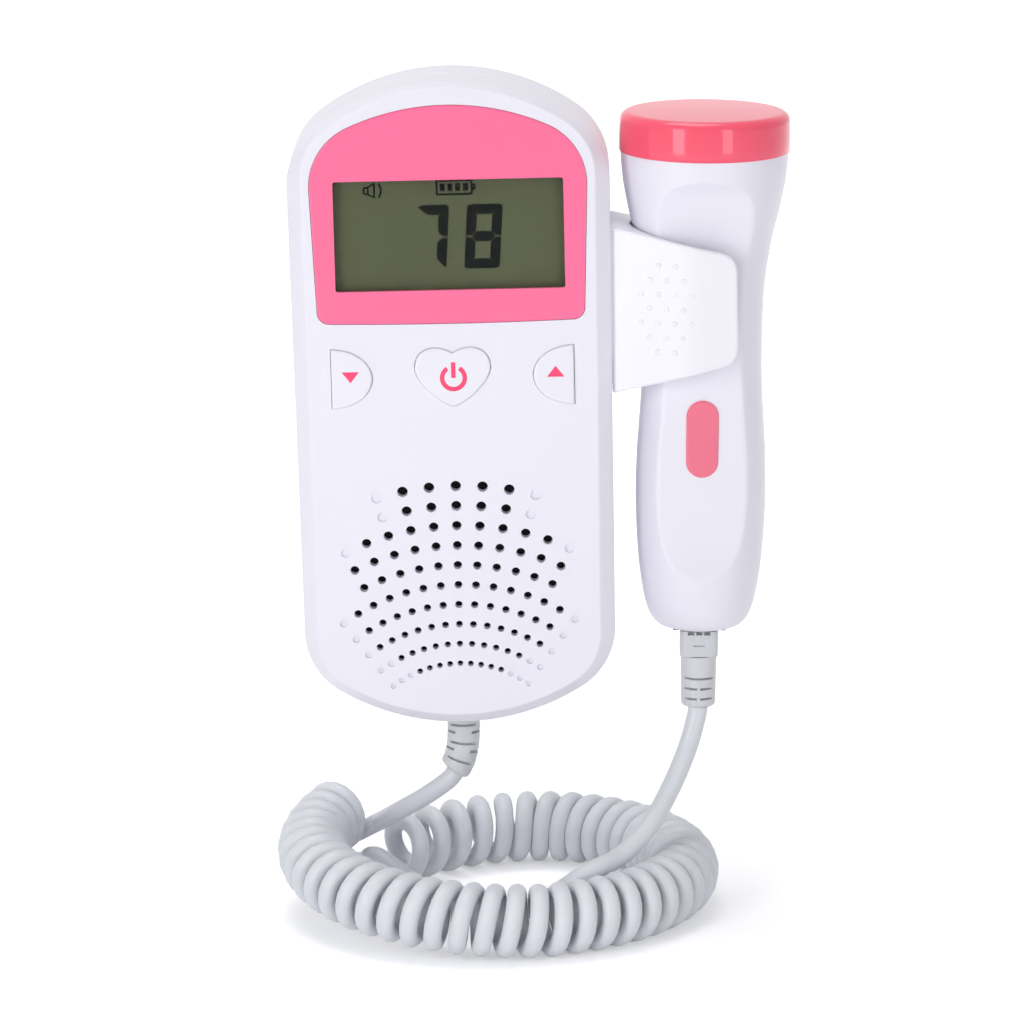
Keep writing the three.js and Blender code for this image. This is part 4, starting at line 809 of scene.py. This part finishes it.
# centre, width and height of the bars that draw the battery and the loudspeaker
battery_bars = [(1.25, 47, 7.6, 0.45), (1.25, 44.15, 7.6, 0.45), (-2.33, 45.6, 0.45, 2.5),
                (4.83, 45.6, 0.45, 2.5), (5.35, 45.6, 0.6, 1.3)]
battery_bars += [(-1.2 + 1.6 * i, 45.6, 1.05, 1.6) for i in range(4)]
speaker_bars = [(-17.3, 45.2, 0.4, 1.6), (-16.85, 44.57, 0.5, 0.34), (-16.85, 45.83, 0.5, 0.34),
                (-16.42, 45.2, 0.36, 1.0), (-15.15, 45.2, 0.4, 3.1)]
speaker_cone = [flat((-16.6, 44.7), (-16.6, 44.4), (-15.35, 43.65), (-15.35, 44.05)),
                flat((-16.6, 45.7), (-15.35, 46.35), (-15.35, 46.75), (-16.6, 46.0))]
lcd_marks = [*digit(-7.3, -0.8, "abc"), *digit(2.9, 10.2, "abcdefg"), *speaker_cone,
             *[box_outline(*bar) for bar in battery_bars + speaker_bars],
             band(-15.9, 45.2, 2.35, 0.42, -42, 42, 12)]
sign("display_signs", "unit", lcd_marks, -27.42, 0.08, segment_dark, "display")
print("display:", len(lcd_marks), "marks")

# %% [markdown]
# ## Clip and probe
# Both are drawn in the probe's own frame, which leans a little. The clip is a wall round the
# handle that opens away from the case. The handle is turned from one profile and split front and
# back; its thumb facet is a flat that scoops into the front half.

# %% The probe's frame and profile
probe_frame = (Matrix.Translation(Vector((51.5, -15, 0)) * MM)
               @ Matrix.Rotation(radians(1.6), 4, "Y"))
handle_radius, handle_length, handle_foot = 17.4, 101.5, -51.3
no_flat = 99
# shares of the handle's radius and length: its outline, then how far out its front flat lies
handle_shares = [
    (0.2, 0.0045), (0.35, 0.005), (0.46, 0.0085), (0.53, 0.0155), (0.585, 0.027), (0.632, 0.045),
    (0.68, 0.077), (0.736, 0.141), (0.77, 0.215),
    (0.784, 0.289), (0.773, 0.377), (0.744, 0.456), (0.718, 0.545), (0.718, 0.643), (0.736, 0.717),
    (0.776, 0.776), (0.833, 0.831), (0.902, 0.88), (0.96, 0.929), (0.991, 0.973), (1, 0.9995),
]
flat_shares = [
    (0.862, 0.092), (0.713, 0.131), (0.626, 0.18), (0.586, 0.249), (0.569, 0.348), (0.56, 0.466),
    (0.557, 0.584), (0.57, 0.683), (0.6, 0.76), (0.632, 0.82), (0.658, 0.855), (0.725, 0.895),
    (0.796, 0.922), (0.872, 0.941), (0.938, 0.953), (0.99, 0.96), (1.15, 0.978),
]


def on_handle(shares):
    """Radius and height in millimetres, smoothed between the given shares."""
    spots = [Vector((radius * handle_radius, height * handle_length + handle_foot, 0))
             for radius, height in shares]
    return [(spot.x, spot.y) for spot in smooth_line(spots, 6)]


handle_line, flat_line = on_handle(handle_shares), on_handle(flat_shares)


def value_at(line, height):
    """The first value of a line of (value, height) pairs at a height."""
    for (low_value, low), (high_value, high) in zip(line, line[1:]):
        if low <= height <= high:
            return low_value + (high_value - low_value) * (height - low) / (high - low)
    return no_flat


def in_probe(points):
    """Points of the probe's own frame, in the shared one."""
    return [probe_frame @ point for point in in_metres(points)]


def turned(line, sides=96):
    """A solid of revolution about the probe's axis."""
    return skin([in_probe((x, y, height) for x, y in disc(0, 0, radius, sides))
                 for radius, height in line])


# %% The probe's two shells
seam_gap = 0.06
half_steps = 20
widest_side = radians(78)


def half_ring(radius, height, front):
    """Half of the handle's section; the front half is cut off flat for the thumb."""
    level = value_at(flat_line, height) if front else no_flat
    edge = min(asin(min(1, level / radius)), widest_side)
    turns = [edge * i / half_steps for i in range(half_steps)]
    side = [(radius * cos(turn), max(seam_gap, radius * sin(turn))) for turn in turns]
    reach = radius * cos(edge)
    steps = [reach * (1 - 2 * i / half_steps) for i in range(half_steps + 1)]
    middle = [(x, min(level, sqrt(max(0, radius ** 2 - x ** 2)))) for x in steps]
    ring = side + middle + [(-x, y) for x, y in reversed(side)]
    sense = -1 if front else 1
    return in_probe((x, sense * y, height) for x, y in ring)


for name, front in (("probe_front", True), ("probe_rear", False)):
    rings = [half_ring(radius, height, front) for radius, height in handle_line]
    shell = add_piece(name, skin(rings), 50, "probe", "white_shell", case_white, name + "_shell")
    print(name + ":", len(shell.data.polygons), "faces")

# %% The cap and the badge
cap_line = [(17.5, 50.2), (17.68, 50.26), (17.74, 50.45), (17.75, 52.5), (17.75, 54.5)]
cap_line += [(15.65 + 2 * cos(turn), 56.4 + 2 * sin(turn)) for turn in quarter_turns]
cap_line += [(14, 58.46), (11, 58.56), (7, 58.66), (3, 58.69), (0.3, 58.7)]
add_piece("sounding_cap", turned(cap_line), 50, "probe", "pink_gloss", cap_pink, "probe_cap")
badge_sizes = (0, -8.9, 6.7, 16.3, 3.34)
badge_rim = [(0, -9.4), (0, -9.95), (-0.08, -10.08), (-0.3, -10.18), (-0.8, -10.19)]
badge_rings = [in_probe((x, y, z) for x, z in grown_box(badge_sizes, grow))
               for grow, y in badge_rim]
add_piece("badge_pill", skin(badge_rings), 50, "probe", "pink_badge", badge_pink, "probe_badge")
print("cap:", len(cap_line), "rings, badge:", len(badge_rings), "rings")

# %% The clip's shape
clip_outer = 16.24
clip_root, stem_half, front_half = -19.6, 10.5, 10.53
lip_outer, lip_inner = 7.4, 6
bore_clearance = 0.4
stem_turn = asin(stem_half / clip_outer)
# the front of the clip runs straight from the case and meets the round part without a crease
meeting_turn = radians(251.3)
meeting = Vector((cos(meeting_turn), sin(meeting_turn))) * clip_outer
plan = [
    (clip_root, stem_half), (clip_root, -front_half),
    *arc(0, 0, clip_outer, meeting_turn, pi * 1.5, 12),
    (lip_outer, -clip_outer), (lip_outer, 0), (lip_inner, 0), (lip_inner, clip_outer),
    *arc(0, 0, clip_outer, pi / 2, pi - stem_turn, 24),
]
clip_body = skin([in_probe((x, y, z) for x, y in plan) for z in (-5, 45)])


def bend(corner, before, after):
    """A corner rounded by a quadratic curve."""
    reach, steps = 3.4, 8
    start = corner + (before - corner).normalized() * reach
    stop = corner + (after - corner).normalized() * reach
    shares = [i / steps for i in range(steps + 1)]
    return [start * (1 - s) ** 2 + corner * 2 * s * (1 - s) + stop * s ** 2 for s in shares]


low_root, low_tip, high_tip, high_root = flat((32.9, 1.3), (58.9, 8.2), (58.9, 30.5), (32.2, 36.4))
elevation = [low_root, *bend(low_tip, low_root, high_tip), *bend(high_tip, low_tip, high_root),
             high_root]
bore = []
for radius, height in handle_line:
    if -12 < height < 49:
        grown = radius + bore_clearance
        ring = [(x, y, height) for x, y in arc(0, 0, grown, pi / 2, pi * 1.5, 48)]
        bore.append(in_probe([*ring, (40, -grown, height), (40, grown, height)]))
clip_mesh = carve(clip_body, ("INTERSECT", prism(elevation, -45, 15)), skin(bore))

# %% The clip's rounded edges
# the outer edges are rounded most at the front, and the bore's thin edges least
clip_shape = bmesh.new()
clip_shape.from_mesh(clip_mesh)
rounding = clip_shape.edges.layers.float.new("bevel_weight_edge")
bore_reach = 16 * MM
for edge in clip_shape.edges:
    if len(edge.link_faces) == 2 and edge.calc_face_angle() > radians(40):
        middle = probe_frame.inverted() @ ((edge.verts[0].co + edge.verts[1].co) / 2)
        outer_share = 0.7 if middle.y < 0 else 0.35
        edge[rounding] = 0.2 if middle.xy.length < bore_reach else outer_share
clip_shape.to_mesh(clip_mesh)
side_clip = add_piece("side_clip", clip_mesh, 30, "unit", "clip_white", clip_white, "probe_clip")
softened = side_clip.modifiers.new("softened", "BEVEL")
softened.width = 0.8 * MM
softened.segments = 4
softened.use_clamp_overlap = False
softened.limit_method = "WEIGHT"
print("clip:", len(clip_mesh.polygons), "faces before its edges are rounded")

# %% The clip's grip dots
dot_rows = [2, 3, 4, 3, 4, 3, 2]
dot_middle, dot_height = -7.8, 19.3
dot_pitch, dot_row_pitch = 3.45, 3
dot_radius, dot_proudness = 0.62, 0.45
dots = []
for row, count in enumerate(dot_rows):
    for i in range(count):
        x = dot_middle + (i - (count - 1) / 2) * dot_pitch
        z = dot_height + (len(dot_rows) // 2 - row) * dot_row_pitch
        # a dot sits on the round part, or else on the straight front beyond it
        held = max(x, meeting.x)
        lean = asin(held / clip_outer)
        y = -clip_outer * cos(lean) - (held - x) * tan(lean)
        spot = Vector((x, y, z)) * MM
        dot = bmesh.new()
        bmesh.ops.create_uvsphere(
            dot, u_segments=20, v_segments=12, radius=dot_radius * MM,
            matrix=probe_frame @ Matrix.Translation(spot) @ Matrix.Rotation(lean, 4, "Z")
            @ Matrix.Diagonal((1, dot_proudness, 1, 1)))
        dots.append(dot)
add_piece("clip_dots", together(dots), 40, "unit", "clip_white", clip_white)
print("dots:", len(dots))

# %% [markdown]
# ## Plug and boots
# The plug's housing is a rounded block with three small windows. Both boots are slotted so that
# they can bend: rings along the boot, sunk where a slot is cut.


# %% The plug's housing
plug_sizes = (0, 0, 8, 7.2, 1.4)
plug_rim = [(-0.25, -57.2), (-0.07, -57.13), (0, -56.95), (0, -51.6)]
# across, depth and height spans of the cuts: three small windows and a slot below them
plug_cut_spans = [((x - 0.665, x + 0.665), (-5, -2.4), (-52.4, -51)) for x in (-1.68, 0, 1.68)]
plug_cut_spans.append(((-1.2, 1.2), (-5, -3.2), (-54.85, -54.55)))
plug_block = skin([in_probe((x, y, height) for x, y in grown_box(plug_sizes, grow))
                   for grow, height in plug_rim])
plug_cuts = []
for (left, right), (front, back), heights in plug_cut_spans:
    corners = [(left, front), (right, front), (right, back), (left, back)]
    plug_cuts.append(skin([in_probe((x, y, z) for x, y in corners) for z in heights]))
plug = add_piece("plug_body", carve(plug_block, together(plug_cuts)), 30, "probe", "plug_grey",
                 plug_grey, "plug_housing")
print("plug:", len(plug.data.polygons), "faces,", len(plug_cuts), "cuts")

# %% The two boots
boot_steps, boot_sides = 200, 72
bend_power = 3
end_radius = 0.8
slot_edge = 0.04
hole_depth = 1.4


def is_open(cut, turn):
    """Whether a slot of one kind is cut at an angle round the boot."""
    if cut == "side":
        return abs(cos(turn)) > 0.55
    return abs(sin(turn)) > 0.62 and (cut == "front" or abs(cos(turn)) > 0.09)


def boot(name, rides, replaced, origin, length, lean, radii, slot, hole, places, frame_matrix):
    """A slotted boot with a rounded end and a hole where the cord goes in."""
    upper, lower = radii
    slot_height, slot_depth = slot
    step = slot_edge / length
    # share of the length, slot depth, kind of slot and how far the wall is drawn in
    stations = [(0, 0, "front", 0)]
    for share, cut in places:
        start, stop = share - slot_height / 2 / length, share + slot_height / 2 / length
        stations += [(start, 0, cut, 0), (start + step, slot_depth, cut, 0),
                     (stop - step, slot_depth, cut, 0), (stop, 0, cut, 0)]
    stations += [(1 - end_radius * (1 - sin(turn)) / length, 0, "front",
                  end_radius * (1 - cos(turn))) for turn in quarter_turns[::2]]
    line = [Vector(origin)]
    for i in range(boot_steps):
        turn = radians(lean) * ((i + 0.5) / boot_steps) ** bend_power
        line.append(line[-1] - Vector((sin(turn), 0, cos(turn))) * length / boot_steps)
    rings = []

    def ring(share, radius_at):
        i = min(boot_steps - 1, int(share * boot_steps))
        centre = line[i].lerp(line[i + 1], share * boot_steps - i)
        tilt = radians(lean) * share ** bend_power
        spots = []
        for k in range(boot_sides):
            turn = tau * k / boot_sides
            radius = radius_at(turn)
            reach = radius * cos(turn)
            spots.append(frame_matrix @ ((centre + Vector((
                reach * cos(tilt), radius * sin(turn), -reach * sin(tilt)))) * MM))
        rings.append(spots)

    for share, depth, cut, inset in stations:
        full = upper + (lower - upper) * share - inset
        ring(share, lambda turn: full - (depth if is_open(cut, turn) else 0))
    ring(1, lambda turn: hole)
    ring(1 - hole_depth / length, lambda turn: hole)
    add_piece(name, skin(rings), 35, rides, "boot_grey", boot_grey, replaced)


# where along each boot its slots lie, and of which kind they are
case_slots = [(0.26, "front"), (0.375, "side"), (0.535, "front"), (0.65, "side"), (0.806, "front")]
probe_slots = [(0.42, "front"), (0.62, "bridged"), (0.82, "bridged")]
boot("case_boot", "unit", "unit_boot", (0, -15, -67.2), 14.5, 38, (3.45, 3.4), (0.6, 1.2), 2.03,
     case_slots, Matrix.Identity(4))
boot("probe_boot", "probe", "plug_boot", (0, 0, -57.3), 11, 0, (3.75, 3.6), (0.5, 1.1), 2.13,
     probe_slots, probe_frame)
print("boots:", len(case_slots), "and", len(probe_slots), "slots")

# %% [markdown]
# ## Studio
# Two tall strip lamps whose reflections stand on the cap, a key lamp from the upper left and a
# lamp above. The room looks white to the camera and in reflections, but gives the object only a
# plain level of light. The floor glows white away from the object, so that it has no horizon, and
# keeps the soft shadow near it.


# %% The room and the floor
def seen_directly(tree):
    """A mask of the rays that come from the camera, gloss or glass."""
    rays = add_node(tree, "LightPath").outputs
    mask = rays["Is Camera Ray"]
    for kind in ("Is Glossy Ray", "Is Transmission Ray"):
        mask = add_node(tree, "Math", "MAXIMUM", mask, rays[kind]).outputs["Value"]
    return mask


room_tint, room_level = (0.97, 0.96, 1, 1), 0.34
world = bpy.data.worlds.new("studio_world")
scene.world = world
world.use_nodes = True
tree = world.node_tree
room = feed(tree, tree.nodes["Background"], Color=room_tint, Strength=room_level)
white_room = add_node(tree, "Background", Color=(1, 1, 1, 1), Strength=1)
mixer = add_node(tree, "MixShader", None, seen_directly(tree), room.outputs["Background"],
                 white_room.outputs["Background"])
feed(tree, tree.nodes["World Output"], Surface=mixer.outputs["Shader"])

floor_height = cad_bounds[0][2] - 0.05 * MM
floor_size = 6
floor_colour = (252, 252, 254)
glow_start, glow_end = 0.16, 0.5
glow_level = 0.32
floor_shape = bmesh.new()
bmesh.ops.create_grid(floor_shape, x_segments=1, y_segments=1, size=floor_size,
                      matrix=Matrix.Translation((0, 0, floor_height)))
floor = new_piece("studio_floor", floor_shape)
floor_paint = finish("floor_paint", floor_colour, 0.9, drift=(3, 0.004), Specular_IOR_Level=0.1,
                     Emission_Color=(1, 1, 1, 1))
tree = floor_paint.node_tree
reach = add_node(tree, "VectorMath", "LENGTH", surface_point(tree))
glow = add_node(tree, "MapRange", Value=reach.outputs["Value"], From_Min=glow_start,
                From_Max=glow_end, To_Min=glow_level, To_Max=1)
only_seen = add_node(tree, "Math", "MULTIPLY", glow.outputs["Result"], seen_directly(tree))
feed(tree, tree.nodes["Principled BSDF"], Emission_Strength=only_seen.outputs["Value"])
paint(floor, floor_paint)
print("studio: floor at", round(floor_height, 4))

# %% The lamps
# place in metres, power in watts, width and height of each soft lamp; all face the middle
lamps = {
    "left_strip": ((-0.36, -0.58, 0.12), 1.45, 0.2, 0.5),
    "right_strip": ((0.385, -0.62, 0.12), 0.9, 0.17, 0.5),
    "key_lamp": ((-0.85, -1.0, 0.8), 1.2, 0.6, 0.9),
    "top_lamp": ((-0.1, 0.1, 1.3), 8, 0.8, 0.8),
}
for name, (place, power, width, height) in lamps.items():
    lamp = bpy.data.lights.new(name, "AREA")
    lamp.shape = "RECTANGLE"
    lamp.size = width
    lamp.size_y = height
    lamp.energy = power
    holder = bpy.data.objects.new(name, lamp)
    scene.collection.objects.link(holder)
    holder.location = place
    holder.rotation_euler = (-Vector(place)).to_track_quat("-Z", "Y").to_euler()
scene.view_settings.view_transform = "Standard"
print("lamps:", len(lamps))
